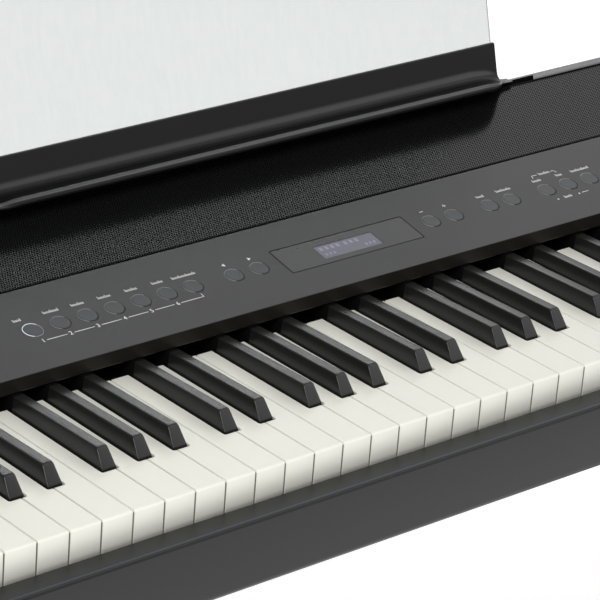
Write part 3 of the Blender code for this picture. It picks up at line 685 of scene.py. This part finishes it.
def build_keys():
    """The keys, painted near black as shade where the panel hides them, with painted shade on the
    white keys' sides.
    """
    # Painted shade: the parts behind the panel take near black, and the white keys' sides below the
    # top a darker beige
    behind = (BLACK_AND_PAINTED_SHADE, lambda normal, centre: centre.y > KEY_FRONT_Y + (WHITE_LENGTH + 0.1) * MM)
    side = (KEY_SIDE_PAINTED_SHADE, lambda normal, centre: abs(normal.x) > 0.9 and centre.z < KEY_TOP_Z - 3 * MM)
    kinds = {"white": (white_key, [side, behind]), "black": (black_key, [behind])}
    for number, (kind, index, body) in enumerate(key_bodies(), start=1):
        make, looks = kinds[kind]
        piece("key_%02d_%s" % (number, kind), make(index), "key_" + kind, body, (body,), 50, looks)


build_keys()


# ---- Control panel ----

def button_places():
    """(name, x) of every round button."""
    places = []
    for group, start, count in BUTTON_GROUPS:
        places += [(group + "_" + str(i + 1), start + i * BUTTON_PITCH) for i in range(count)]
    return places + [("power_button", POWER_X)]


def build_panel():
    """The sloped panel with its openings, countersunk at the buttons, and its fall to the keys,
    whose glossy black front carries a painted reflection of the keys.
    """
    profile = rounded([(*panel_point(0), 0.6), (*panel_point(1.5), 0),
                       (*panel_point(PANEL_DEPTH - 2.0), 0), (*panel_point(PANEL_DEPTH), 0.9),
                       (*panel_point(PANEL_DEPTH, 3.0), 0.2), (*panel_point(3.4, 3.0), 0.2),
                       (PANEL_FRONT[0] + 3.0, FALL_FOOT, 0.6),
                       (PANEL_FRONT[0], FALL_FOOT, 0.8)], 5)
    through = [(0, -2 * PAST), (0, PAST)]
    width, depth = (size + 2 * WINDOW_GAP for size in WINDOW_SIZE)
    rim = HOLE_RADIUS + 0.3
    hole = [(0.01, -2 * PAST), (HOLE_RADIUS, -2 * PAST), (HOLE_RADIUS, -0.2),
            (HOLE_RADIUS + 0.1, 0.0), (rim, 0.2), (rim, PAST), (0.01, PAST)]
    cutters = [turned(hole, on_panel(x), BUTTON_SIDES) for _, x in button_places()]
    cutters.append(slab(rectangle(width, depth, 1.2), through, on_panel(*WINDOW)))
    cutters.append(slab(rectangle(50, 3, 1.5), through, on_panel(SLIDER_X)))
    mesh = cut(to_mesh("panel", [bar(profile)]), to_mesh("holes", cutters))
    fall = (FALL_BLACK_PAINTED_REFLECTION, lambda normal, centre: normal.y < -0.9 and centre.y < KEY_FRONT_Y + 149 * MM)
    panel = piece("control_panel_top", mesh, "panel_grey", CASE, ("control_panel",), 30, [fall])
    hold_flat(panel.data)


def build_buttons():
    """Nearly flush caps with a rolled rim, each in a light pipe, of which two are lit; each ring
    has a painted highlight on one side and painted shade on the other.
    """
    edge = HOLE_RADIUS - 0.5
    cap = [(0.02, -5.8), (edge - 0.3, -5.8), (edge, -5.5), (edge, -0.1), (edge - 0.05, 0.07),
           (edge - 0.17, 0.19), (edge - 0.37, 0.25), (edge - 0.8, 0.26), (edge - 2, 0.24),
           (edge - 4, 0.22), (0.02, 0.21)]
    for name, x in button_places():
        piece(name + "_cap", [turned(cap, on_panel(x), BUTTON_SIDES)], "button_grey", name,
              (name,), 50)
    rim = HOLE_RADIUS - 0.1
    ring = [(rim - 0.3, -2.0), (rim, -2.0), (rim, 0.08), (rim - 0.06, 0.18), (rim - 0.16, 0.22),
            (rim - 0.27, 0.15)]
    for name, x in button_places():
        place = on_panel(x)
        # The near side of each ring takes the lit or painted-highlight look, the far side the
        # painted shade
        near, far = (RING_LIGHT, RING_PAINTED_SHADE) if name in LIT_BUTTONS else (PIPE_PAINTED_HIGHLIGHT, PIPE_PAINTED_SHADE)
        painted_shade_test = (far, lambda normal, centre, middle=place.translation:
                (centre - middle).dot(PAINTED_HIGHLIGHT_SIDE) < -1.5 * MM)
        piece(name + "_ring", to_mesh(name, [turned(ring, place, BUTTON_SIDES)], True), near, CASE,
              sharp=60, others=[painted_shade_test])


def mark_shape(points):
    """A filled printed shape from panel points (x, row)."""
    place = on_panel(0, 0)
    return [[place @ Vector((x, row, z)) for x, row in points] for z in PRINT_LEVELS]


def stroke(points, width):
    """A printed line through panel points (x, row)."""
    shells = []
    for (x0, r0), (x1, r1) in zip(points, points[1:]):
        along = Vector((x1 - x0, r1 - r0))
        side = Vector((-along.y, along.x)).normalized() * width / 2
        shells.append(mark_shape([(x0 - side.x, r0 - side.y), (x1 - side.x, r1 - side.y),
                                  (x1 + side.x, r1 + side.y), (x0 + side.x, r0 + side.y)]))
    return shells


def words(x0, x1, row):
    """Rows of plain upright blocks that take up the room of a printed word."""
    shells = []
    count = max(3, round((x1 - x0) / 1.15))
    step = (x1 - x0) / count
    for i in range(count):
        tall = 2.9 if i % 5 == 0 else 2.0
        middle = x0 + (i + 0.5) * step
        shells += stroke([(middle, row - 1.0), (middle, row - 1.0 + tall)], 0.52 * step)
    return shells


def digit(number, x, row, size):
    """A printed digit, as a mesh in place on the panel."""
    curve = bpy.data.curves.new("digit", "FONT")
    curve.body = str(number)
    curve.size = size
    curve.extrude = 0.05
    curve.offset = 0.03
    curve.align_x = "CENTER"
    curve.align_y = "CENTER"
    mesh = evaluated(linked("digit", curve))
    mesh.transform(on_panel(x, row))
    return mesh


# Printed words: the group whose first button they are measured from, start, end and row
WORDS = (
    ("tone_button", -7.4, -0.9, 52.4), ("tone_button", 16.7, 29.2, 52.8),
    ("tone_button", 39.1, 49.5, 52.8), ("tone_button", 60.8, 71.3, 52.8),
    ("tone_button", 83.0, 93.0, 52.8), ("tone_button", 105.3, 114.5, 52.8),
    ("tone_button", 121.8, 141.8, 52.4), ("menu_button", -3.0, 4.4, 51.4),
    ("menu_button", 16.5, 31.0, 52.0), ("song_button", -3.4, 5.0, 52.0),
    ("song_button", 20.0, 26.2, 52.0), ("song_button", 8.4, 19.2, 58.3),
    ("song_button", 6.0, 13.6, 26.8), ("song_button", 35.2, 53.4, 52.0),
)
# Brackets, minus and plus, the slider's wedge and the power sign: group, width and points
LINES = (
    ("tone_button", 0.55, ((111.4, LINE_ROW), (130.6, LINE_ROW))),
    ("tone_button", 0.55, ((130.4, 27.0), (130.4, 30.8))),
    ("value_button", 0.6, ((-0.9, 52.2), (2.3, 52.2))),
    ("value_button", 0.6, ((20.9, 52.3), (24.1, 52.3))),
    ("value_button", 0.6, ((22.5, 50.7), (22.5, 53.9))),
    ("song_button", 0.5, ((0.4, 55.4), (1.2, 58.4), (6.8, 58.4))),
    ("song_button", 0.5, ((20.4, 58.4), (23.4, 58.4), (24.2, 55.4))),
    ("song_button", 0.5, ((24.0, 27.0), (30.6, 27.0))),
    ("slider", 0.5, ((-22, 51.0), (22, 51.0), (22, 54.6), (-22, 51.0))),
    ("power", 0.55, ((0, 51.4), (0, 54.2))),
    ("power", 0.5, [(2.4 * sin(a), 52.2 + 2.4 * cos(a))
                    for a in (radians(35 + 290 * i / 14) for i in range(15))]),
)
ARROWS = (((-1.8, 52.2), (1.0, 50.5), (1.0, 53.9)), ((23.6, 51.9), (20.8, 53.6), (20.8, 50.2)))


def build_marks():
    """Everything that is printed on the panel, as one piece."""
    starts = {group: start for group, start, _ in BUTTON_GROUPS}
    starts.update(slider=SLIDER_X, power=POWER_X)
    first = starts["tone_button"]
    shells = []
    for group, x0, x1, row in WORDS:
        shells += words(starts[group] + x0, starts[group] + x1, row)
    for group, width, points in LINES:
        shells += stroke([(starts[group] + x, row) for x, row in points], width)
    for x in (first + i * BUTTON_PITCH for i in range(5)):
        shells += stroke([(x + 2.4, LINE_ROW), (x + BUTTON_PITCH - 3.2, LINE_ROW)], 0.55)
    for points in ARROWS:
        shells.append(mark_shape([(starts["page_button"] + x, row) for x, row in points]))
    for x in (-0.3, 20.9):
        place = on_panel(starts["song_button"] + x, 26.6)
        shells.append(turned([(0.75, level) for level in PRINT_LEVELS], place, 16))
    bm = bmesh.new()
    bm.from_mesh(to_mesh("strokes", shells))
    for number in range(1, 7):
        bm.from_mesh(digit(number, first - 0.3 + (number - 1) * BUTTON_PITCH, LINE_ROW, 5.2))
    mesh = bpy.data.meshes.new("marks")
    bm.to_mesh(mesh)
    bm.free()
    piece("panel_marks", mesh, INK, CASE, sharp=0)


def build_display():
    """The window plate, with the lit readout and its plain blocks sunk into it."""
    plate = slab(rectangle(*WINDOW_SIZE, 0.8), soft_levels(-1.6, 0.05, 0.25), on_panel(*WINDOW))
    width, depth = (size + 2 * READOUT_GAP for size in READOUT_SIZE)
    opening = slab(rectangle(width, depth, 0.6), [(0, -0.5), (0, 1)], on_panel(*READOUT))
    plate = cut(to_mesh("window", [plate]), to_mesh("opening", [opening]))
    piece("display_plate", plate, "window_smoke", CASE, ("display_window",), 30)
    lcd = slab(rectangle(*READOUT_SIZE, 0.4), soft_levels(-0.48, -0.12, 0.1), on_panel(*READOUT))
    piece("display_readout", [lcd], LCD_LIGHT, CASE)
    shells = []
    for row, size, places in ((3.4, 3.6, (-22, -17, -12, -7, 0, 5, 10)),
                              (-3.2, 2.4, (-22, -18.4, -14.8, 14, 17.6, 21.2))):
        for x in places:
            place = on_panel(READOUT[0] + x, READOUT[1] + row)
            outline = rectangle(size * 0.72, size, 0.2, 2)
            shells.append(slab(outline, [(0, -0.13), (0, -0.08)], place))
    piece("display_blocks", shells, LCD_MARK, CASE)


def build_slider():
    """The volume slider's cap on its stem, with a printed line."""
    place = on_panel(SLIDER_X)
    cap = rectangle(11, 15, 1.4)
    levels = soft_levels(0.4, 6.0, 1.1, 0.4)
    stem = slab(rectangle(5, 2, 0.2), [(0, -6.0), (0, 0.9)], place)
    line = slab(rectangle(0.7, 11.5, 0.3), [(0, 5.9), (0, 6.06)], place)
    piece("volume_slider_cap", [slab(cap, levels, place), stem], "button_grey", "volume_slider",
          ("volume_slider",), 40)
    piece("volume_slider_line", [line], INK, "volume_slider")


build_panel()
build_buttons()
build_marks()
build_display()
build_slider()


# ---- Speaker grille ----

def perforated(name, first, last):
    """A stretch of staggered holes between two columns: each hole sits in a six-sided cell."""
    pitch, row_step = HOLE_PITCH, HOLE_ROW_STEP
    rows = int((GRILLE_DEPTH - 2.0) / row_step)
    start = PANEL_DEPTH + (GRILLE_DEPTH - (rows - 1) * row_step) / 2
    reach = (row_step ** 2 - (pitch / 2) ** 2) / (2 * row_step)
    corners = np.array([(pitch / 2, reach), (0, row_step - reach), (-pitch / 2, reach),
                        (-pitch / 2, -reach), (0, reach - row_step), (pitch / 2, -reach)])
    angles = np.radians(np.array([30, 90, 150, 210, 270, 330]))
    inner = GRILLE_HOLE * np.stack([np.cos(angles), np.sin(angles)], 1)
    columns = np.arange(first, last)
    grid = np.array([(c * pitch + (r % 2) * pitch / 2, start + r * row_step)
                     for r in range(rows) for c in columns])
    outer_points = (grid[:, None, :] + corners[None]).reshape(-1, 2)
    inner_points = (grid[:, None, :] + inner[None]).reshape(-1, 2)
    keys, where = np.unique(np.round(outer_points, 2), axis=0, return_inverse=True)
    where = where.reshape(-1, 6)
    inner_index = np.arange(len(inner_points)).reshape(-1, 6) + len(keys)
    after = np.roll(np.arange(6), -1)
    faces = np.stack([where, where[:, after], inner_index[:, after], inner_index], 2).reshape(-1, 4)
    flat = np.concatenate([keys, inner_points])
    y, z = panel_point(flat[:, 1], 0.05)
    verts = np.stack([flat[:, 0] * MM, KEY_FRONT_Y + y * MM, KEY_TOP_Z + z * MM], 1)
    mesh = bpy.data.meshes.new(name)
    mesh.from_pydata(verts.tolist(), [], faces.tolist())
    piece(name, mesh, "grille_black", CASE, ("speaker_grille",), 0)


def build_grille():
    """The pierced sheet in three stretches, the cloth under it and, round it, near-black strips as
    painted shade in the channel.
    """
    columns = int(CASE_HALF / HOLE_PITCH) - 1
    edges = [round(-columns + 2 * columns * i / 3) for i in range(4)]
    for index in range(3):
        perforated("grille_sheet_" + str(index + 1), edges[index], edges[index + 1])
    cloth = slab(rectangle(2 * CASE_HALF - 2, GRILLE_DEPTH - 1.2, 0.5),
                 soft_levels(-2.4, -1.3, 0.2), on_panel(0, GRILLE_MIDDLE))
    piece("grille_cloth", [cloth], BLACK_AND_PAINTED_SHADE, CASE)
    # Painted shade: near-black strips, a hair above the panel, stand in for the shade in the
    # channel round the grille
    shells = []
    for row, wide in ((PANEL_DEPTH + 0.9, 1.5), (RAIL_ROW - 0.7, 1.1)):
        shells.append(slab(rectangle(2 * CASE_HALF - 0.4, wide, 0.3), soft_levels(-2.4, 0.02, 0.2),
                           on_panel(0, row)))
    for side in (-1, 1):
        shells.append(slab(rectangle(2.4, GRILLE_DEPTH - 3.2, 0.3), soft_levels(-2.4, 0.02, 0.2),
                           on_panel(side * (CASE_HALF - 1.4), GRILLE_MIDDLE)))
    piece("grille_channel", shells, BLACK_AND_PAINTED_SHADE, CASE)


build_grille()


# ---- Case ----

def build_lower_case():
    """The key slip with its rolled nose, which carries a painted highlight, and the bottom tray
    under a narrow parting groove.
    """
    slip = rounded([(-4.6, SLIP_TOP, 0.5), (CASE_FRONT, SLIP_TOP, 2.0), (CASE_FRONT, -21.6, 0.7),
                    (-18.4, -21.9, 0.4), (-16.7, -21.9, 0.3), (-16.7, -32.0, 0.3),
                    (-14.7, -32.0, 0.3), (-14.7, PARTING, 0.4), (-4.6, PARTING, 0.5)], 5)
    # The nose's faces that face forward and up get the painted highlight
    edge = (SLIP_PAINTED_HIGHLIGHT, lambda normal, centre: normal.y < -0.3 and normal.z > 0.3)
    piece("key_slip_moulding", [bar(slip)], "case_black", CASE, ("key_slip",), 60, [edge])
    wall = 3.0
    tray = rounded([(CASE_FRONT + 0.1, -22.9, 0.8), (CASE_FRONT, CASE_BOTTOM, 6.0),
                    (CASE_REAR, CASE_BOTTOM, 6.0), (CASE_REAR, -30.0, 0.4),
                    (CASE_REAR - wall, -30.0, 0.4), (CASE_REAR - wall, CASE_BOTTOM + wall, 3.0),
                    (CASE_FRONT + wall, CASE_BOTTOM + wall, 3.0),
                    (CASE_FRONT + wall, -21.6, 0.4), (CASE_FRONT + 1.4, -21.6, 0.4)], 6)
    piece("bottom_tray", [bar(tray)], "case_black", CASE, ("bottom_case",), 60)


def flared(near, far):
    """The plan of the rest's recess between two depths: its ends open outwards towards the back."""
    def half(y):
        return SLOT_HALF + SLOT_FLARE * (y - RAIL_FRONT) / (SLOT_REAR - RAIL_FRONT)

    def outline(inset):
        return [(-half(near), near), (half(near), near), (half(far), far), (-half(far), far)]
    return outline


def build_rear_cover():
    """The rear rail and wall, with the recess for the music rest and the window of the sockets. The
    recess is painted near black as shade; the rail's light grey crown is partly a trim colour and
    partly a painted sheen.
    """
    grille_z = panel_point(RAIL_ROW)[1]
    top_z = grille_z + RAIL_RISE
    inner = CASE_REAR - 3
    profile = rounded([(RAIL_FRONT, top_z, 0.9), (CASE_REAR, top_z, RAIL_CROWN),
                       (CASE_REAR, REAR_FOOT, 0.4), (inner, REAR_FOOT, 0.4),
                       (inner, 38.0, 0.4), (RAIL_FRONT, 38.0, 0.4)], 7)
    slot = slab(flared(SLOT_FRONT, SLOT_REAR), [(0, SLOT_FLOOR), (0, 70)], FROM_KEYS)
    step = slab(flared(STEP_FRONT, STEP_REAR), [(0, grille_z - 0.4), (0, 71)], FROM_KEYS)
    window = slab(rectangle(160.6, 30.6, 1.0), [(0, -8), (0, 5)], facing_back(JACK_X, JACK_RISE))
    mesh = cut(to_mesh("rear", [bar(profile)]), to_mesh("slot", [slot, window]))
    mesh = cut(mesh, to_mesh("step", [step]))
    low, high = at(0, RAIL_FRONT - 0.1, 41), at(0, SLOT_REAR + 0.1, top_z - 0.05)
    # Painted shade: the faces inside the rest's recess are near black
    inside = (BLACK_AND_PAINTED_SHADE, lambda normal, centre: abs(centre.x) < (SLOT_HALF + SLOT_FLARE) * MM
              and low.y < centre.y < high.y and low.z < centre.z < high.z)
    # The light grey stays only on the rail's crown, partly as a trim colour and partly as a painted
    # sheen of the bright surroundings; the lower and rear-facing faces are black
    rear = (LOOKS["case_black"], lambda normal, centre: centre.z < KEY_TOP_Z + (top_z - 4) * MM
            or normal.y > 0.75)
    piece("rear_cover_moulding", mesh, "rail_grey", CASE, ("rear_cover",), 30, [rear, inside])


build_lower_case()
build_rear_cover()


# ---- Music rest ----

LEAN = radians(15)
UPRIGHT_TOP = 92.4
UPRIGHT_THICK = 2.9
REST_STEPS = 7
FOOT_UNDER = 56.7
FOOT_REAR = 318.4
TAB = (313.0, 317.0, 41.6)
TAB_HALF = 257.9
SHEET_LENGTH = 166.0
# The rest from where its lip leaves the straight: x, lip and root of the upright (each back and
# up), and past the upright's end also the height of the upright's top and of the foot
REST_SHAPE = (
    (212.0, 284.0, 73.0, 307.1, 69.0),
    (217.0, 284.3, 72.6, 307.1, 69.0),
    (222.0, 285.1, 71.6, 307.1, 68.8),
    (226.0, 286.4, 70.8, 307.0, 68.6),
    (230.0, 288.2, 69.8, 307.0, 68.3),
    (234.0, 290.9, 68.4, 306.9, 67.9),
    (238.0, 294.0, 66.8, 306.9, 67.4),
    (241.0, 297.0, 65.3, 306.8, 66.8),
    (243.5, 299.6, 63.9, 306.7, 66.3),
    (243.9, 300.0, 63.7, 306.7, 66.2, UPRIGHT_TOP - 0.3),
    (244.1, 300.2, 63.6, 306.7, 66.1, UPRIGHT_TOP - 1.2),
    (244.2, 300.3, 63.5, 306.7, 66.0, 71.5),
    (244.7, 300.8, 63.2, 306.7, 65.6, 68.6),
    (245.8, 301.9, 62.7, 306.8, 64.8, 66.4, 61.3),
    (247.5, 303.6, 61.8, 307.0, 63.6, 64.4, 61.0),
    (250.0, 306.0, 60.5, 307.9, 61.8, 62.5, 60.6),
    (253.0, 308.0, 59.4, 309.5, 60.4, 60.9, 59.6),
    (256.0, 309.0, 58.8, 310.4, 59.4, 59.6, 58.8),
    (257.8, 309.2, 58.6, 310.6, 59.1, 59.2, 58.5),
    (258.0, 309.2, 58.6, 310.6, 59.1, 59.2, 58.5),
    (262.0, 309.4, 58.4, 310.8, 58.7, 58.8, 58.1),
    (264.5, 309.8, 58.2, 311.2, 58.4, 58.5, 57.8),
    (265.6, 310.8, 57.8, 312.0, 58.0, 58.0, 57.5),
)


def rest_section(x, lip_y, lip_z, root_y, root_z, top_z=UPRIGHT_TOP, foot_z=61.4):
    """Corners of the rest's side profile: lip, upright, foot, tab and the lip's underside."""
    top_y = max(308.3 + (top_z - 73.0) * tan(LEAN), root_y + 0.7)
    back_y = top_y + UPRIGHT_THICK
    if top_z > 72:
        behind = [(311.2, 71.4, 0.8), (309.0, 64.5, 0.8), (309.2, foot_z, 0.3)]
    else:
        share = (top_z - 0.8 - foot_z) / 3
        behind = [(back_y + 0.6, foot_z + 2 * share, 0.5), (back_y + 1.2, foot_z + share, 0.5),
                  (back_y + 1.8, foot_z, 0.3)]
    tab_front, tab_back, tab_z = TAB
    if x > TAB_HALF:
        tab_z = FOOT_UNDER - 0.1
    under = max(FOOT_UNDER + 0.6, lip_z - min(6.0, max(3.2, lip_z - 66.0)))
    return ([(lip_y, lip_z, 3.6), (root_y, root_z, 9.0), (top_y, top_z, 0.9),
             (back_y, top_z - 0.8, 0.9)] + behind
            + [(FOOT_REAR, foot_z, 0.8), (FOOT_REAR, FOOT_UNDER, 0.6), (tab_back, FOOT_UNDER, 0.2),
               (tab_back, tab_z, 0.5), (tab_front, tab_z, 0.5), (tab_front, FOOT_UNDER, 0.2),
               (max(306.0, lip_y + 2.4),
                max(FOOT_UNDER + 0.1, 58.0 - max(0, lip_y - 290) * 0.1), 1.5),
               (max(301.4, lip_y + 1.4), max(FOOT_UNDER + 0.3, min(65.4, lip_z - 4)), 2.0),
               (lip_y + 0.8, under, 1.0)])


def build_music_rest():
    """The base as one moulding lofted from end to end, with painted highlights on its lip and on
    the tops of its tails, and the clear sheet that leans on it.
    """
    halves = [(row[0], rounded(rest_section(*row), REST_STEPS)) for row in REST_SHAPE]
    rings = [[at(-x, y, z) for y, z in outline] for x, outline in reversed(halves)]
    rings += [[at(x, y, z) for y, z in outline] for x, outline in halves]
    # Painted highlight: the upward faces of the rest's tails, past the upright, are light grey like
    # the rail
    tail = (LOOKS["rail_grey"],
            lambda normal, centre: abs(centre.x) > (REST_HALF + 0.3) * MM and normal.z > 0.25)
    ledge = piece("music_rest_ledge", [rings], "rest_black", REST, ("music_rest_base",), 45,
                  [tail])
    ledge.data.materials.append(REST_LIP_PAINTED_HIGHLIGHT)
    ledge.data.materials.append(REST_LEDGE)
    # The faces round the lip get the painted highlight; the flat ledge behind it gets the less
    # shiny ledge look
    for polygon in ledge.data.polygons:
        side = polygon.index % len(rings[0])
        if len(polygon.vertices) == 4 and abs(polygon.center.x) < REST_HALF * MM:
            if 2 < side < REST_STEPS - 1:
                polygon.material_index = 2
            elif side == REST_STEPS:
                polygon.material_index = 3
    half = REST_HALF + 0.3

    def outline(inset):
        r = max(12.0 - inset, 0.1)
        top = SHEET_LENGTH - inset
        return rounded([(-half + inset, inset, 0.6), (half - inset, inset, 0.6),
                        (half - inset, top, r), (inset - half, top, r)], 8)
    place = (FROM_KEYS @ Matrix.Translation((0, 310.8, 62.1))
             @ Matrix.Rotation(pi / 2 - LEAN, 4, "X"))
    sheet = slab(outline, soft_levels(-1.5, 1.5, 0.5), place)
    piece("music_rest_sheet", [sheet], "rest_clear", REST, ("music_rest_panel",), 40)


build_music_rest()


# ---- Speakers ----

def build_speakers():
    """Driver with surround, ribbed cone, dust cap, basket and magnet."""
    profile = [(0.02, -9.0), (4.0, -9.4), (8.5, -12.0), (9.2, -13.0), (15.0, -10.4), (15.4, -9.9),
               (22.0, -6.6), (22.4, -6.1), (28.0, -3.4), (29.0, -3.0), (30.0, -1.8), (31.4, -1.2),
               (32.8, -1.8), (33.8, -2.6), (34.6, -0.3), (38.0, -0.2), (38.0, -3.0), (34.0, -4.0),
               (22.0, -20.0), (26.0, -22.0), (26.0, -35.0), (25.0, -36.0), (0.02, -36.0)]
    for node in ("speaker_left", "speaker_right"):
        low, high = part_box(node)
        place = on_panel((low.x + high.x) / 2 / MM, GRILLE_MIDDLE, -3.1)
        name = node.replace("speaker", "speaker_driver")
        piece(name, [turned(profile, place, 64)], "speaker_cone", CASE, (node,), 30)


build_speakers()


# ---- Rear sockets and screws ----

def screw(place, radius, height):
    """The rings of a pan head with a hexagon recess."""
    rings = turned([(share * radius, level * height) for share, level in
                    ((1.0, 0.0), (1.0, 0.35), (0.93, 0.75), (0.72, 1.0), (0.52, 1.0))], place,
                   HEAD_POINTS)
    for level in (1.0, 0.3):
        points = []
        for i in range(HEAD_POINTS):
            angle = 2 * pi * i / HEAD_POINTS
            face = (angle + pi / 6) % (pi / 3) - pi / 6
            r = 0.4 * radius / cos(face)
            points.append(place @ Vector((r * cos(angle), r * sin(angle), level * height)))
        rings.append(points)
    return rings


def build_sockets():
    """Round sockets with a raised collar, and a square data socket with its tongue."""
    for name, offset in (("power", -62), ("pedal", 0), ("phones_1", 32), ("phones_2", 60)):
        bore = 1.6 if name == "power" else 3.15
        wall = [(4.4, -6.0), (4.4, -0.5), (6.6, -0.5), (6.6, -0.15), (6.2, 0.25), (5.0, 0.25),
                (4.6, 0.05), (bore + 0.5, 0.0), (bore, -0.4), (bore, -5.9), (0.02, -5.9),
                (0.02, -6.0)]
        place = facing_back(JACK_X + offset, JACK_RISE)
        piece("socket_" + name, [turned(wall, place, 40)],
              BLACK_STEEL if name == "power" else STEEL, CASE)
    place = facing_back(JACK_X - 32, JACK_RISE)
    shell = slab(rectangle(11.8, 10.8, 0.6), [(0.1, -6.0), (0, -5.9), (0, -0.35), (0.25, -0.1),
                                             (0.9, -0.1), (1.0, -0.3), (1.0, -5.5)], place)
    tongue = slab(rectangle(5.4, 3.6, 0.3), [(0, -5.6), (0, -1.2), (0.2, -1.0)], place)
    piece("socket_usb", [shell], STEEL, CASE)
    piece("socket_usb_tongue", [tongue], BLACK_AND_PAINTED_SHADE, CASE)


def build_screws():
    """Screws in the rear wall, the jack plate and the underside."""
    rear = [screw(facing_back(x, -22), 3.2, 1.6) for x in (-560, -330, -110, 110, 330, 560)]
    rear += [screw(facing_back(JACK_X + x, JACK_RISE, CASE_REAR - 0.5), 2.4, 1.0)
             for x in (-75, 75)]
    piece("rear_screws", rear, BLACK_STEEL, CASE)
    down = Matrix.Rotation(pi, 4, "X")
    under = [screw(FROM_KEYS @ Matrix.Translation((x, y, CASE_BOTTOM)) @ down, 3.6, 1.4)
             for x in (-560, -280, 0, 280, 560) for y in (14, 110, 290)]
    piece("bottom_screws", under, BLACK_STEEL, CASE)


def build_stand_details():
    """Screw heads in the side boards, and the dowels that show on the foot bars."""
    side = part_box("side_panel_right")[1]
    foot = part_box("foot_right")
    for name, sign in (("left", -1), ("right", 1)):
        outward = Matrix.Rotation(sign * pi / 2, 4, "Y") @ SCALE
        heads = [screw(Matrix.Translation((sign * side.x, y, side.z - drop)) @ outward, 5.0, 1.8)
                 for y, drop in ((-0.09, 0.012), (0.132, 0.03), (0.132, 0.12))]
        piece("board_screws_" + name, heads, STEEL, CASE)
        x = sign * (foot[0].x + foot[1].x) / 2
        dowel = [(0.02, -0.2), (9.5, -0.2), (9.5, 0.25), (0.02, 0.25)]
        dowels = [turned(dowel, Matrix.Translation((x, y, foot[1].z)) @ SCALE, 32)
                  for y in (-0.11, 0.11)]
        piece("foot_dowels_" + name, dowels, LOOKS["stand_metal"], CASE)


build_sockets()
build_screws()
build_stand_details()


# ---- Finishes on the CAD nodes that stay ----

STAYING = {
    "case_black": ("end_block_left", "end_block_right", "jack_plate"),
    "chassis_plastic": ("key_chassis",),
    "board_green": ("circuit_board",),
    "display_module": ("display_module",),
    "stand_board": ("side_panel_left", "side_panel_right", "foot_left", "foot_right", "back_board"),
    "stand_metal": ("support_rail",),
}
SOFTENED = {"end_block_left": 1.2, "end_block_right": 1.2, "jack_plate": 0.4, "back_board": 1.0}


def dress_node(name, look):
    """Give a CAD node its finish, and soft edges where it is seen close up."""
    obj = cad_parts[name]
    if not obj.material_slots:
        obj.data.materials.append(look)
    for slot in obj.material_slots:
        slot.material = look
    if name in SOFTENED:
        edge = obj.modifiers.new("edge", "BEVEL")
        edge.width = SOFTENED[name] * MM
        edge.segments = 3
        edge.limit_method = "ANGLE"
        edge.angle_limit = radians(40)
        edge.harden_normals = True


for look_name, node_names in STAYING.items():
    for node_name in node_names:
        dress_node(node_name, LOOKS[look_name])


# ---- Floor and light ----

def build_stage():
    """A pale floor just under the feet."""
    bm = bmesh.new()
    bmesh.ops.create_grid(bm, x_segments=1, y_segments=1, size=14)
    mesh = bpy.data.meshes.new("floor")
    bm.to_mesh(mesh)
    bm.free()
    mesh.materials.append(moulded("floor", grey(0.93), 0.7, spread=0.01, grain_mm=3,
                                  Emission_Color=(1, 1, 1, 1), Emission_Strength=0.42))
    floor = linked("floor", mesh)
    floor.location.z = -0.0005


def area_light(name, place, aim_z, size, power):
    """A round soft light that faces the middle of the piano at a height."""
    light = bpy.data.lights.new(name, "AREA")
    light.shape = "DISK"
    light.size = size
    light.energy = power
    obj = linked(name, light)
    obj.location = place
    aim = Vector((0, 0, aim_z))
    obj.rotation_euler = (aim - Vector(place)).to_track_quat("-Z", "Y").to_euler()


def build_lights():
    """Even studio light, with the key light over the player's left shoulder."""
    world = bpy.data.worlds.new("studio")
    world.use_nodes = True
    background = world.node_tree.nodes["Background"]
    background.inputs["Color"].default_value = (1, 1, 1, 1)
    background.inputs["Strength"].default_value = 0.34
    bpy.context.scene.world = world
    area_light("key_light", (-1.65, -1.87, 3.2), 0.75, 1.3, 66)
    area_light("side_box", (2.2, -1.4, 3.1), 0.75, 3.0, 26)
    area_light("soft_box", (2.1, 1.7, 3.0), 0.75, 2.4, 11)
    area_light("front_light", (-1.2, -3.6, 1.5), 0.7, 2.2, 20)
    area_light("back_light", (2.2, 3.4, 2.6), 0.75, 2.0, 30)
    view = bpy.context.scene.view_settings
    view.view_transform = "Standard"
    view.look = "None"


build_stage()
build_lights()
